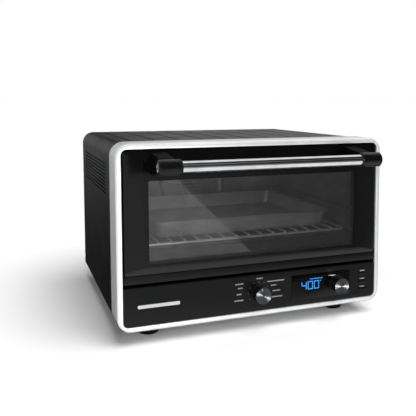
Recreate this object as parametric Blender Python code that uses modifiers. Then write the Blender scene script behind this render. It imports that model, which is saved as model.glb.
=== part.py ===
"""Countertop toaster oven with a drop-down glass door, a convection fan and a digital control panel.

Frame: +Z up, the front faces -Y, +X is to the right when facing the oven. The origin is the centre of
the box that holds the whole oven, on the surface it stands on. Distances "behind the face" are measured
along +Y from the front plane of the bezel.
"""

import math

import bmesh
import bpy
from mathutils import Matrix, Vector

MM = 0.001

# Overall
WIDTH = 431.8 * MM
HEIGHT = 292.1 * MM
DEPTH = 460.0 * MM
FOOT_HEIGHT = 21.5 * MM
HANDLE_REACH = 72.0 * MM
SPACER_REACH = 8.0 * MM
GAP = 0.3 * MM
SHEET = 1.0 * MM

# Front bezel
BEZEL_BORDER = 7.9 * MM
BEZEL_FACE = 4.0 * MM
BEZEL_BAND = 51.6 * MM
BEZEL_WALL = 1.2 * MM
BEZEL_RADIUS = 21.0 * MM
BEZEL_INNER_RADIUS = 8.5 * MM

# Outer shell, rear panel and base
VENT_START = 99.0 * MM
VENT_END_MARGIN = 40.0 * MM
VENT_BELOW_TOP = 34.6 * MM
VENT_PITCH = 5.75 * MM
VENT_HEIGHT = 2.6 * MM
VENT_COUNT = 9
GROOVE_PITCH = 39.4 * MM
GROOVE_WIDTH = 3.0 * MM
GROOVE_DEPTH = 0.5 * MM
GROOVE_MARGIN = 20.0 * MM
SHELL_LIP = 14.0 * MM
BASE_FLANGE = 14.0 * MM
BASE_SLOT_LENGTH = 60.0 * MM
BASE_SLOT_WIDTH = 3.0 * MM
BASE_SLOT_PITCH = 14.0 * MM
BASE_SLOT_COUNT = 5
REAR_SLOT_LENGTH = 70.0 * MM
REAR_SLOT_WIDTH = 3.2 * MM
REAR_SLOT_PITCH = 12.0 * MM
REAR_SLOT_COUNT = 6
REAR_SLOT_X = 52.5 * MM
SPACER_LENGTH = 34.0 * MM
SPACER_HEIGHT = 14.0 * MM
SPACER_X = 120.0 * MM
GLAND_RADIUS = 6.0 * MM
GLAND_FLANGE = 9.5 * MM
GLAND_BORE = 3.6 * MM
GLAND_OUTSIDE = 4.0 * MM
GLAND_INSIDE = 3.0 * MM
GLAND_CHAMFER = 1.0 * MM
GLAND_HEIGHT = 52.0 * MM
GLAND_X = 165.0 * MM
FOOT_RADIUS = 17.5 * MM
FOOT_CHAMFER = 1.5 * MM
FOOT_STUD = 4.0 * MM
FOOT_X = 160.0 * MM
REAR_FOOT_MARGIN = 40.0 * MM
POWER_BOARD = (100.0 * MM, 72.0 * MM)
POWER_BOARD_SIDE = 23.9 * MM
POWER_BOARD_BEHIND = 62.0 * MM
POWER_BOARD_RISE = 6.0 * MM
POWER_POST_INSET = 5.0 * MM
# Parts on the power board in mm: left and front edge from its corner, width, length, height
POWER_PARTS = ((8, 8, 34, 30, 24), (50, 10, 20, 16, 16), (74, 10, 20, 16, 16), (10, 46, 60, 18, 12))

# Control panel
PANEL_HEIGHT = 57.0 * MM
PANEL_GAP = 0.5 * MM
PANEL_RECESS = 0.6 * MM
PANEL_WALL = 3.0 * MM
PANEL_DEPTH = 17.9 * MM
PANEL_ROUND = 2.5 * MM
LENS_WIDTH = 104.4 * MM
LENS_HEIGHT = 40.0 * MM
LENS_THICKNESS = 1.9 * MM
LENS_RIGHT_MARGIN = 47.6 * MM
DISPLAY_WIDTH = 52.0 * MM
DISPLAY_HEIGHT = 27.0 * MM
DISPLAY_MARGIN = 8.6 * MM
DISPLAY_THICKNESS = 6.0 * MM
DISPLAY_FRAME = 2.0 * MM
NAMEPLATE_WIDTH = 68.0 * MM
NAMEPLATE_HEIGHT = 11.0 * MM
NAMEPLATE_THICKNESS = 0.8 * MM
NAMEPLATE_MARGIN = 17.4 * MM
CONTROL_LINE = 28.3 * MM
MODE_X = 0.0
ADJUST_MARGIN = 24.8 * MM
KNOB_RADIUS = 13.75 * MM
KNOB_LENGTH = 19.0 * MM
KNOB_STANDOFF = 1.0 * MM
KNOB_ROUND = 1.2 * MM
SHAFT_RADIUS = 3.0 * MM
SHAFT_IN_KNOB = 13.6 * MM
ENCODER_SIZE = 15.0 * MM
ENCODER_DEPTH = 7.1 * MM
ENCODER_FLOOR = 2.0 * MM
BUTTON_WIDTH = 14.0 * MM
BUTTON_HEIGHT = 5.0 * MM
BUTTON_MARGIN = 23.4 * MM
BUTTON_PITCH = 13.2 * MM
BUTTONS_BELOW_LINE = 2.6 * MM
BUTTON_PROUD = 1.2 * MM
BUTTON_CLEARANCE = 0.4 * MM
BUTTON_LIP = 1.6 * MM
BUTTON_TRAVEL = 1.2 * MM
BUTTON_NAMES = ("lower_button", "middle_button", "upper_button")
SWITCH_SIZE = 6.0 * MM
SWITCH_PROUD = 2.0 * MM
SWITCH_CLEARANCE = 0.8 * MM
BOARD_THICKNESS = 1.6 * MM
BOARD_MARGIN = 5.0 * MM
BOARD_LEFT = -16.0 * MM
BOSS_RADIUS = 3.0 * MM
BOSS_INSET = 1.0 * MM

# Door
DOOR_GAP = 2.8 * MM
DOOR_PANEL_GAP = 4.4 * MM
RAIL_HEIGHT = 12.4 * MM
RAIL_DEPTH = 15.4 * MM
DOOR_SEAM = 0.5 * MM
GLASS_THICKNESS = 4.0 * MM
FRAME_THICKNESS = 7.1 * MM
FRAME_INSET = 2.0 * MM
INNER_GLASS_THICKNESS = 3.2 * MM
INNER_GLASS_OVERLAP = 11.0 * MM
INNER_GLASS_LIFT = 1.0 * MM
WINDOW_SIDE = 35.7 * MM
WINDOW_ABOVE = 42.9 * MM
WINDOW_BELOW = 25.7 * MM
WINDOW_RADIUS = 3.0 * MM
DOOR_CORNER = 4.0 * MM
HINGE_BEHIND = 5.4 * MM
HINGE_ABOVE = 4.3 * MM
PIN_RADIUS = 2.0 * MM
PIN_IN_RAIL = 16.0 * MM
HINGE_PLAY = 0.4 * MM
BRACKET_THICKNESS = 2.0 * MM
BRACKET_HEIGHT = 18.0 * MM
BRACKET_FRONT = 2.0 * MM
SPRING_RADIUS = 4.0 * MM
SPRING_WIRE = 0.7 * MM
SPRING_TURNS = 6
SPRING_STEPS = 8
SPRING_LENGTH = 42.0 * MM

# Handle
BAR_RADIUS = 8.0 * MM
CAP_RADIUS = 10.8 * MM
CAP_LENGTH = 33.0 * MM
CAP_CHAMFER = 1.5 * MM
CAP_END_X = 171.0 * MM
BAR_IN_CAP = 15.0 * MM
HANDLE_BELOW_TOP = 17.8 * MM
ARM_WIDTH = 22.0 * MM
ARM_FOOT_HEIGHT = 33.0 * MM
ARM_HEAD_HEIGHT = 17.0 * MM
SCREW_RADIUS = 2.0 * MM
SCREW_HEAD = 4.5 * MM
SCREW_HEAD_HEIGHT = 2.4 * MM
SCREW_IN_ARM = 12.0 * MM

# Cavity
FRAME_CLEARANCE = 3.0 * MM
PLATE_LIFT = 1.2 * MM
SIDE_BAY = 41.1 * MM
TOP_BAY = 21.3 * MM
REAR_BAY = 47.7 * MM
FLOOR_ABOVE_DOOR = 15.7 * MM
RAIL_GROOVE = 5.0 * MM
LOWER_GROOVE = (27.9 * MM, 36.5 * MM)
UPPER_GROOVE = (64.8 * MM, 73.0 * MM)
HEATER_RADIUS = 3.5 * MM
HEATER_CLEARANCE = 0.7 * MM
HEATER_TIP = 1.0 * MM
HEATER_IN_HOLDER = 8.5 * MM
HOLDER_THICKNESS = 10.0 * MM
HOLDER_HEIGHT = 16.0 * MM
LOWER_HEATER = 15.0 * MM
UPPER_HEATER = 13.0 * MM
HEATER_FRONT = 65.0 * MM
HEATER_REAR = 77.0 * MM
PROBE_RADIUS = 2.0 * MM
PROBE_LENGTH = 34.0 * MM
PROBE_HEAD = 2.0 * MM
PROBE_HEAD_RADIUS = 5.0 * MM
PROBE_BELOW_TOP = 43.0 * MM
PROBE_BEHIND = 200.0 * MM

# Rack, pan and crumb tray
RACK_FRONT = 20.0 * MM
RACK_REAR = 26.0 * MM
RACK_WIRE = 2.2 * MM
RACK_CORNER = 12.0 * MM
CROSS_WIRE = 1.5 * MM
CROSS_PITCH = 21.0 * MM
CROSS_MARGIN = 18.0 * MM
SIDE_PLAY = 1.3 * MM
PAN_SIDE = 24.0 * MM
PAN_FRONT = 12.0 * MM
PAN_REAR = 8.0 * MM
PAN_HEIGHT = 26.0 * MM
PAN_TAPER = 5.0 * MM
PAN_FLANGE = 5.0 * MM
PAN_SHEET = 1.0 * MM
PAN_CORNER = 14.0 * MM
TRAY_HEIGHT = 5.0 * MM
TRAY_SIDE = 5.0 * MM
TRAY_FRONT = 8.0 * MM
TRAY_LIP_HEIGHT = 13.0 * MM
TRAY_LIP_SIDE = 2.4 * MM
TRAY_SLOT_CLEARANCE = 0.6 * MM
TRAY_GRIP = 60.0 * MM

# Convection fan
COVER_RADIUS = 65.0 * MM
COVER_FLANGE = 5.0 * MM
COVER_DEPTH = 18.0 * MM
COVER_ROUND = 2.0 * MM
COVER_HOLE = 4.5 * MM
COVER_PITCH = 20.0 * MM
FAN_X = -8.0 * MM
FAN_RADIUS = 46.0 * MM
BLADE_HEIGHT = 8.0 * MM
BLADE_COUNT = 8
BLADE_THICKNESS = 1.0 * MM
BLADE_ROOT = 4.0 * MM
BLADE_TIP = 2.0 * MM
HUB_RADIUS = 8.0 * MM
AXLE_RADIUS = 2.5 * MM
AXLE_CLEARANCE = 1.0 * MM
FAN_BEHIND_COVER = 4.0 * MM
MOTOR_RADIUS = 22.0 * MM
MOTOR_LENGTH = 30.0 * MM
MOTOR_ROUND = 2.0 * MM
MOTOR_STANDOFF = 4.0 * MM
MOTOR_POST_X = 26.0 * MM
STRAP_END = 5.0 * MM
STRAP_WIDTH = 12.0 * MM
STRAP_BEHIND = 3.0 * MM
STRAP_THICKNESS = 2.0 * MM
STRAP_OVERLAP = 4.0 * MM

# Levels and planes that follow from the sizes above
HALF = WIDTH / 2
FACE = HANDLE_REACH - DEPTH / 2
REAR = DEPTH / 2 - SPACER_REACH
OPEN_HALF = HALF - BEZEL_BORDER
OPEN_LOW = FOOT_HEIGHT + BEZEL_BORDER
OPEN_HIGH = HEIGHT - BEZEL_BORDER
SHELL_INSET = BEZEL_WALL + GAP
SHELL_HALF = HALF - SHELL_INSET
SHELL_TOP = HEIGHT - SHELL_INSET
SHELL_LOW = FOOT_HEIGHT + SHELL_INSET
SHELL_RADIUS = BEZEL_RADIUS - SHELL_INSET
SHELL_FRONT = FACE + BEZEL_FACE + GAP
INNER_HALF = SHELL_HALF - SHEET - GAP
INNER_TOP = SHELL_TOP - SHEET - GAP
INNER_RADIUS = SHELL_RADIUS - SHEET - GAP
BASE_LOW = SHELL_LOW + SHEET + GAP
BASE_TOP = BASE_LOW + SHEET
SHELL_MIDDLE = SHELL_HALF - SHELL_RADIUS
REAR_PANEL_BACK = REAR - SHEET
REAR_PANEL_FRONT = REAR_PANEL_BACK - SHEET

PANEL_HALF = OPEN_HALF - PANEL_GAP
PANEL_LOW = OPEN_LOW + PANEL_GAP
PANEL_TOP = PANEL_LOW + PANEL_HEIGHT
PANEL_FRONT = FACE + PANEL_RECESS
PANEL_BACK = PANEL_FRONT + PANEL_WALL
CONTROL_Z = PANEL_LOW + CONTROL_LINE
LENS_RIGHT = PANEL_HALF - LENS_RIGHT_MARGIN
LENS_LEFT = LENS_RIGHT - LENS_WIDTH
LENS_FLOOR = PANEL_FRONT + LENS_THICKNESS
ADJUST_X = LENS_RIGHT - ADJUST_MARGIN
BUTTON_X = PANEL_HALF - BUTTON_MARGIN
ENCODER_BACK = PANEL_BACK + GAP + ENCODER_DEPTH
BOARD_FRONT = ENCODER_BACK + GAP

DOOR_HALF = OPEN_HALF - DOOR_GAP
DOOR_LOW = PANEL_TOP + DOOR_PANEL_GAP
DOOR_TOP = OPEN_HIGH - DOOR_GAP
DOOR_FRONT = FACE + PANEL_RECESS
RAIL_TOP = DOOR_LOW + RAIL_HEIGHT
GLASS_BACK = DOOR_FRONT + GLASS_THICKNESS
FRAME_FRONT = GLASS_BACK + GAP
FRAME_BACK = FRAME_FRONT + FRAME_THICKNESS
DOOR_BACK = DOOR_FRONT + RAIL_DEPTH
WINDOW_HALF = DOOR_HALF - WINDOW_SIDE
WINDOW_LOW = DOOR_LOW + WINDOW_BELOW
WINDOW_TOP = DOOR_TOP - WINDOW_ABOVE
HINGE_Y = DOOR_FRONT + HINGE_BEHIND
HINGE_Z = DOOR_LOW + HINGE_ABOVE
HANDLE_Y = CAP_RADIUS - DEPTH / 2
HANDLE_Z = DOOR_TOP - HANDLE_BELOW_TOP
CAP_INNER_X = CAP_END_X - CAP_LENGTH
BAR_END_X = CAP_INNER_X + BAR_IN_CAP
ARM_X = CAP_END_X - CAP_LENGTH / 2

FRAME_PLATE_FRONT = DOOR_BACK + FRAME_CLEARANCE
FRAME_PLATE_BACK = FRAME_PLATE_FRONT + SHEET
CAVITY_FRONT = FRAME_PLATE_BACK + GAP
CAVITY_BACK = REAR - REAR_BAY - GAP
CAVITY_HALF = INNER_HALF - SIDE_BAY
CAVITY_FLOOR = DOOR_LOW + FLOOR_ABOVE_DOOR
CAVITY_TOP = INNER_TOP - TOP_BAY
BACK_PLATE_FRONT = CAVITY_BACK + GAP
BACK_PLATE_BACK = BACK_PLATE_FRONT + SHEET
HOLDER_X = CAVITY_HALF + SHEET + GAP
RACK_Z = CAVITY_FLOOR + LOWER_GROOVE[0] + GAP + RACK_WIRE
RACK_HALF = CAVITY_HALF + RAIL_GROOVE - SIDE_PLAY - RACK_WIRE
RACK_NEAR = CAVITY_FRONT + RACK_FRONT
RACK_FAR = CAVITY_BACK - RACK_REAR
CROSS_Z = RACK_Z + RACK_WIRE + CROSS_WIRE / 2
PAN_LOW = CROSS_Z + CROSS_WIRE + GAP
TRAY_LOW = CAVITY_FLOOR + GAP
TRAY_TOP = TRAY_LOW + TRAY_HEIGHT
TRAY_HALF = CAVITY_HALF - TRAY_SIDE
TRAY_SLOT_TOP = TRAY_TOP + TRAY_SLOT_CLEARANCE
FAN_Z = (TRAY_SLOT_TOP + CAVITY_TOP) / 2
COVER_FRONT = BACK_PLATE_FRONT - GAP - COVER_DEPTH
FAN_FRONT = COVER_FRONT + FAN_BEHIND_COVER
FAN_BACK = FAN_FRONT + BLADE_HEIGHT + SHEET
MOTOR_FRONT = BACK_PLATE_BACK + GAP + MOTOR_STANDOFF

X = Vector((1, 0, 0))
Y = Vector((0, 1, 0))
Z = Vector((0, 0, 1))
MERGE = 1e-6


def new_collection(name):
    collection = bpy.data.collections.new(name)
    bpy.context.scene.collection.children.link(collection)
    return collection


def finish(name, colour, roughness, metallic=0.0, alpha=1.0):
    """A plain material for one kind of surface."""
    material = bpy.data.materials.new(name)
    material.use_nodes = True
    shader = material.node_tree.nodes["Principled BSDF"]
    shader.inputs["Base Color"].default_value = (*colour, 1)
    shader.inputs["Roughness"].default_value = roughness
    shader.inputs["Metallic"].default_value = metallic
    shader.inputs["Alpha"].default_value = alpha
    return material


def place(obj, material=None):
    """Puts an object among the parts, or among the cutters when it has no material."""
    if material is None:
        CUTTERS.objects.link(obj)
        obj.hide_render = True
        obj.display_type = "WIRE"
    else:
        PARTS.objects.link(obj)
        obj.data.materials.append(material)
    return obj


def add_box(bm, low, high):
    low = Vector(low)
    high = Vector(high)
    middle = Matrix.Translation((low + high) / 2)
    bmesh.ops.create_cube(bm, size=1, matrix=middle @ Matrix.Diagonal((high - low).to_4d()))


def add_rod(bm, start, end, radius, sides=16):
    start = Vector(start)
    end = Vector(end)
    turn = Z.rotation_difference(end - start).to_matrix().to_4x4()
    matrix = Matrix.Translation((start + end) / 2) @ turn
    bmesh.ops.create_cone(
        bm,
        cap_ends=True,
        segments=sides,
        radius1=radius,
        radius2=radius,
        depth=(end - start).length,
        matrix=matrix,
    )


def solid(name, material=None, boxes=(), rods=()):
    """One mesh of boxes (low, high) and round rods (start, end, radius, sides)."""
    bm = bmesh.new()
    for low, high in boxes:
        add_box(bm, low, high)
    for rod in rods:
        add_rod(bm, *rod)
    mesh = bpy.data.meshes.new(name)
    bm.to_mesh(mesh)
    bm.free()
    return place(bpy.data.objects.new(name, mesh), material)


def combine(target, tool, operation):
    modifier = target.modifiers.new(tool.name, "BOOLEAN")
    modifier.operation = operation
    modifier.object = tool
    return target


def cut(target, boxes=(), rods=(), tag="cut"):
    return combine(target, solid(f"{target.name}_{tag}", None, boxes, rods), "DIFFERENCE")


def weld_on(target, boxes=(), rods=(), tag="join"):
    return combine(target, solid(f"{target.name}_{tag}", None, boxes, rods), "UNION")


def arc(centre, radius, start, end, steps):
    """Points of an arc from start to end, in degrees."""
    turns = [math.radians(start + (end - start) * i / steps) for i in range(steps + 1)]
    return [(centre[0] + radius * math.cos(a), centre[1] + radius * math.sin(a)) for a in turns]


def rounded(low, high, radius, steps=6):
    """A rectangle with round corners, counter-clockwise."""
    (x0, z0), (x1, z1) = low, high
    points = arc((x1 - radius, z0 + radius), radius, -90, 0, steps)
    points += arc((x1 - radius, z1 - radius), radius, 0, 90, steps)
    points += arc((x0 + radius, z1 - radius), radius, 90, 180, steps)
    points += arc((x0 + radius, z0 + radius), radius, 180, 270, steps)
    return points


def slab(name, material, outlines, front, back):
    """Outlines in X and Z, filled and given their thickness along Y; outlines inside the first are holes."""
    curve = bpy.data.curves.new(name, "CURVE")
    curve.dimensions = "2D"
    curve.fill_mode = "BOTH"
    curve.extrude = (back - front) / 2
    for points in outlines:
        spline = curve.splines.new("POLY")
        spline.points.add(len(points) - 1)
        for point, (x, z) in zip(spline.points, points):
            point.co = (x, z, 0, 1)
        spline.use_cyclic_u = True
    obj = bpy.data.objects.new(name, curve)
    obj.location.y = (front + back) / 2
    obj.rotation_euler.x = math.pi / 2
    return place(obj, material)


def as_mesh(source):
    """The same object as a welded mesh, which a Boolean can cut or join."""
    name = source.name
    graph = bpy.context.evaluated_depsgraph_get()
    mesh = bpy.data.meshes.new_from_object(source.evaluated_get(graph))
    bm = bmesh.new()
    bm.from_mesh(mesh)
    bmesh.ops.remove_doubles(bm, verts=bm.verts, dist=MERGE)
    bmesh.ops.recalc_face_normals(bm, faces=bm.faces)
    bm.to_mesh(mesh)
    bm.free()
    material = source.data.materials[0] if source.data.materials else None
    mesh.materials.clear()
    place_matrix = source.matrix_basis.copy()
    bpy.data.objects.remove(source)
    obj = bpy.data.objects.new(name, mesh)
    obj.matrix_world = place_matrix
    return place(obj, material)


def turned(name, material, profile, at, axis, steps=24, closed=False):
    """A profile of (radius, height) points, down the outer side first, turned about an axis through at."""
    mesh = bpy.data.meshes.new(name)
    ends = [(i, i + 1) for i in range(len(profile) - 1)]
    if closed:
        ends.append((len(profile) - 1, 0))
    mesh.from_pydata([(radius, 0, height) for radius, height in profile], ends, [])
    obj = bpy.data.objects.new(name, mesh)
    obj.location = at
    obj.rotation_euler = Z.rotation_difference(axis).to_euler()
    screw = obj.modifiers.new("turn", "SCREW")
    screw.steps = steps
    screw.render_steps = steps
    screw.use_merge_vertices = True
    screw.merge_threshold = MERGE
    return place(obj, material)


def wire(name, material, points, radius, cyclic=False, roundness=2):
    curve = bpy.data.curves.new(name, "CURVE")
    curve.dimensions = "3D"
    curve.bevel_depth = radius
    curve.bevel_resolution = roundness
    curve.use_fill_caps = True
    spline = curve.splines.new("POLY")
    spline.points.add(len(points) - 1)
    for point, place_of in zip(spline.points, points):
        point.co = (*place_of, 1)
    spline.use_cyclic_u = cyclic
    return place(bpy.data.objects.new(name, curve), material)


def ride(pieces, name, at):
    """Parents pieces to an empty on their joint's axis, leaving them where they are."""
    axis = bpy.data.objects.new(name, None)
    axis.location = at
    PARTS.objects.link(axis)
    for piece in pieces:
        piece.parent = axis
        piece.matrix_parent_inverse = Matrix.Translation(-Vector(at))
    return axis


def front_bezel():
    outer = rounded((-HALF, FOOT_HEIGHT), (HALF, HEIGHT), BEZEL_RADIUS, 8)
    bezel = as_mesh(slab("front_bezel", ALUMINIUM, [outer], FACE, FACE + BEZEL_BAND))
    pocket_low = (-HALF + BEZEL_WALL, FOOT_HEIGHT + BEZEL_WALL)
    pocket_high = (HALF - BEZEL_WALL, HEIGHT - BEZEL_WALL)
    pocket = rounded(pocket_low, pocket_high, BEZEL_RADIUS - BEZEL_WALL, 8)
    pocket_back = FACE + BEZEL_BAND + SHEET
    pocket_cutter = as_mesh(slab("bezel_pocket", None, [pocket], FACE + BEZEL_FACE, pocket_back))
    combine(bezel, pocket_cutter, "DIFFERENCE")
    opening = rounded((-OPEN_HALF, OPEN_LOW), (OPEN_HALF, OPEN_HIGH), BEZEL_INNER_RADIUS)
    through = as_mesh(slab("bezel_opening", None, [opening], FACE - SHEET, FACE + BEZEL_FACE + SHEET))
    return combine(bezel, through, "DIFFERENCE")


def outer_shell():
    """Top, sides and lower edges in one folded sheet, with side louvres and shallow grooves on top."""
    middle = SHELL_MIDDLE
    rise = SHELL_TOP - SHELL_RADIUS
    drop = SHELL_LOW + SHELL_RADIUS
    lip = middle - SHELL_LIP
    outline = [(-lip, SHELL_LOW)]
    inside = [(-lip, SHELL_LOW + SHEET)]
    for points, radius in ((outline, SHELL_RADIUS), (inside, SHELL_RADIUS - SHEET)):
        points += arc((-middle, drop), radius, 270, 180, 6)
        points += arc((-middle, rise), radius, 180, 90, 6)
        points += arc((middle, rise), radius, 90, 0, 6)
        points += arc((middle, drop), radius, 0, -90, 6)
    outline.append((lip, SHELL_LOW))
    inside.append((lip, SHELL_LOW + SHEET))
    outline += reversed(inside)
    shell = as_mesh(slab("outer_shell", BLACK_STEEL, [outline], SHELL_FRONT, REAR))
    start = FACE + VENT_START
    end = REAR - VENT_END_MARGIN
    slots = []
    for row in range(VENT_COUNT):
        z = SHELL_TOP - VENT_BELOW_TOP - row * VENT_PITCH
        low = (-HALF, start, z - VENT_HEIGHT / 2)
        slots.append((low, (HALF, end, z + VENT_HEIGHT / 2)))
    count = 1 + int((2 * middle - GROOVE_MARGIN) / GROOVE_PITCH)
    grooves = []
    for column in range(count):
        x = (column - (count - 1) / 2) * GROOVE_PITCH
        low = (x - GROOVE_WIDTH / 2, start, SHELL_TOP - GROOVE_DEPTH)
        grooves.append((low, (x + GROOVE_WIDTH / 2, end, SHELL_TOP + SHEET)))
    return cut(shell, slots + grooves, tag="slots")


def rear_panel():
    arch = rounded((-INNER_HALF, BASE_TOP + GAP), (INNER_HALF, INNER_TOP), INNER_RADIUS)
    slot_half = TRAY_HALF + TRAY_SLOT_CLEARANCE
    slot_low = (-slot_half, TRAY_LOW - TRAY_SLOT_CLEARANCE)
    tray_slot = [slot_low, (slot_half, slot_low[1]), (slot_half, TRAY_SLOT_TOP), (-slot_half, TRAY_SLOT_TOP)]
    gland_hole = arc((GLAND_X, GLAND_HEIGHT), GLAND_RADIUS + GAP, 0, 345, 23)
    holes = [tray_slot, gland_hole]
    for row in range(REAR_SLOT_COUNT):
        for side in (-1, 1):
            x = side * REAR_SLOT_X
            z = FAN_Z + (row - (REAR_SLOT_COUNT - 1) / 2) * REAR_SLOT_PITCH
            low = (x - REAR_SLOT_LENGTH / 2, z - REAR_SLOT_WIDTH / 2)
            high = (low[0] + REAR_SLOT_LENGTH, low[1] + REAR_SLOT_WIDTH)
            holes.append(rounded(low, high, REAR_SLOT_WIDTH / 2, 2))
    return slab("rear_panel", GREY_STEEL, [arch] + holes, REAR_PANEL_FRONT, REAR_PANEL_BACK)


def base_pan():
    """The floor of the case: a sheet with its sides folded up, resting on the shell's lower lips."""
    half = SHELL_MIDDLE
    inner = half - SHEET
    top = BASE_LOW + BASE_FLANGE
    outline = [(-half, BASE_LOW), (half, BASE_LOW), (half, top), (inner, top)]
    outline += [(inner, BASE_TOP), (-inner, BASE_TOP), (-inner, top), (-half, top)]
    front = PANEL_FRONT + PANEL_DEPTH + GAP
    pan = as_mesh(slab("base_pan", GREY_STEEL, [outline], front, REAR_PANEL_FRONT - GAP))
    slots = []
    for side in (-1, 1):
        for row in range(BASE_SLOT_COUNT):
            x = side * SPACER_X
            y = (FACE + REAR) / 2 + (row - (BASE_SLOT_COUNT - 1) / 2) * BASE_SLOT_PITCH
            low = (x - BASE_SLOT_LENGTH / 2, y - BASE_SLOT_WIDTH / 2, BASE_LOW - SHEET)
            slots.append((low, (low[0] + BASE_SLOT_LENGTH, low[1] + BASE_SLOT_WIDTH, BASE_TOP + SHEET)))
    return cut(pan, slots, tag="slots")


def feet():
    """Round feet, each with a stud up to the base."""
    shoulder = FOOT_HEIGHT - GAP
    stud_top = BASE_LOW - GAP
    profile = [(0, stud_top), (FOOT_STUD, stud_top), (FOOT_STUD, shoulder), (FOOT_RADIUS, shoulder)]
    profile += [(FOOT_RADIUS - FOOT_CHAMFER, FOOT_CHAMFER), (FOOT_RADIUS - 2 * FOOT_CHAMFER, 0), (0, 0)]
    front = FACE + BEZEL_BAND + FOOT_STUD + GAP
    for place_y, row in ((front, "front"), (REAR - REAR_FOOT_MARGIN, "rear")):
        for side, hand in ((-1, "left"), (1, "right")):
            turned(f"foot_{row}_{hand}", RUBBER, profile, (side * FOOT_X, place_y, 0), Z, 24)


def rear_fittings():
    for side, hand in ((-1, "left"), (1, "right")):
        low = (side * SPACER_X - SPACER_LENGTH / 2, REAR_PANEL_BACK + GAP, CAVITY_TOP - SPACER_HEIGHT)
        high = (low[0] + SPACER_LENGTH, REAR + SPACER_REACH, CAVITY_TOP)
        solid(f"rear_spacer_{hand}", BLACK_PLASTIC, [(low, high)])
    outside = REAR_PANEL_BACK + GAP
    inside = REAR_PANEL_FRONT - GAP
    narrow = GLAND_FLANGE - GLAND_CHAMFER
    back = outside + GLAND_OUTSIDE
    profile = [(GLAND_BORE, back), (narrow, back), (GLAND_FLANGE, back - GLAND_CHAMFER)]
    profile += [(GLAND_FLANGE, outside), (GLAND_RADIUS, outside), (GLAND_RADIUS, inside)]
    profile += [(narrow, inside), (narrow, inside - GLAND_INSIDE), (GLAND_BORE, inside - GLAND_INSIDE)]
    shifted = [(radius, height - outside) for radius, height in profile]
    turned("cord_gland", BLACK_PLASTIC, shifted, (GLAND_X, outside, GLAND_HEIGHT), Y, 24, closed=True)


def front_frame():
    """The face plate that joins the cavity to the case, behind the door."""
    low = PANEL_TOP + PLATE_LIFT
    rise = INNER_TOP - INNER_RADIUS
    arch = [(-INNER_HALF, low), (INNER_HALF, low)]
    arch += arc((SHELL_MIDDLE, rise), INNER_RADIUS, 0, 90, 6)
    arch += arc((-SHELL_MIDDLE, rise), INNER_RADIUS, 90, 180, 6)
    mouth = liner_outline(0)
    return slab("front_frame", DARK_STEEL, [arch, mouth], FRAME_PLATE_FRONT, FRAME_PLATE_BACK)


def liner_outline(wall):
    """The cavity's cross-section, with a groove for the rack at two heights, grown outwards by wall."""
    right = [(CAVITY_HALF + wall, CAVITY_FLOOR - wall)]
    for low, high in (LOWER_GROOVE, UPPER_GROOVE):
        out = CAVITY_HALF + RAIL_GROOVE + wall
        right += [(CAVITY_HALF + wall, CAVITY_FLOOR + low - wall), (out, CAVITY_FLOOR + low - wall)]
        right += [(out, CAVITY_FLOOR + high + wall), (CAVITY_HALF + wall, CAVITY_FLOOR + high + wall)]
    right.append((CAVITY_HALF + wall, CAVITY_TOP + wall))
    return right + [(-x, z) for x, z in reversed(right)]


def heater_places():
    front = CAVITY_FRONT + HEATER_FRONT
    rear = CAVITY_BACK - HEATER_REAR
    low = CAVITY_FLOOR + LOWER_HEATER
    high = CAVITY_TOP - UPPER_HEATER
    return {
        "upper_front_heater": (front, high),
        "upper_rear_heater": (rear, high),
        "lower_front_heater": (front, low),
        "lower_rear_heater": (rear, low),
    }


def cavity():
    probe_y = FACE + PROBE_BEHIND
    probe_z = CAVITY_TOP - PROBE_BELOW_TOP
    outlines = [liner_outline(SHEET), liner_outline(0)]
    liner = as_mesh(slab("cavity_liner", ENAMEL, outlines, CAVITY_FRONT, CAVITY_BACK))
    bore = HEATER_RADIUS + HEATER_CLEARANCE
    holes = [((-HALF, y, z), (HALF, y, z), bore, 12) for y, z in heater_places().values()]
    holes.append(((0, probe_y, probe_z), (HALF, probe_y, probe_z), PROBE_RADIUS + GAP, 12))
    cut(liner, rods=holes, tag="holes")

    low = (-CAVITY_HALF - SHEET, TRAY_SLOT_TOP)
    high = (CAVITY_HALF + SHEET, CAVITY_TOP + SHEET)
    plate = [low, (high[0], low[1]), high, (low[0], high[1])]
    axle_hole = arc((FAN_X, FAN_Z), AXLE_RADIUS + AXLE_CLEARANCE, 0, 330, 11)
    slab("cavity_back", ENAMEL, [plate, axle_hole], BACK_PLATE_FRONT, BACK_PLATE_BACK)

    profile = [(0, PROBE_HEAD), (PROBE_HEAD_RADIUS, PROBE_HEAD), (PROBE_HEAD_RADIUS, 0)]
    profile += [(PROBE_RADIUS, 0), (PROBE_RADIUS, -PROBE_LENGTH), (0, -PROBE_LENGTH)]
    turned("temperature_probe", CHROME, profile, (HOLDER_X, probe_y, probe_z), X, 12)


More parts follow.
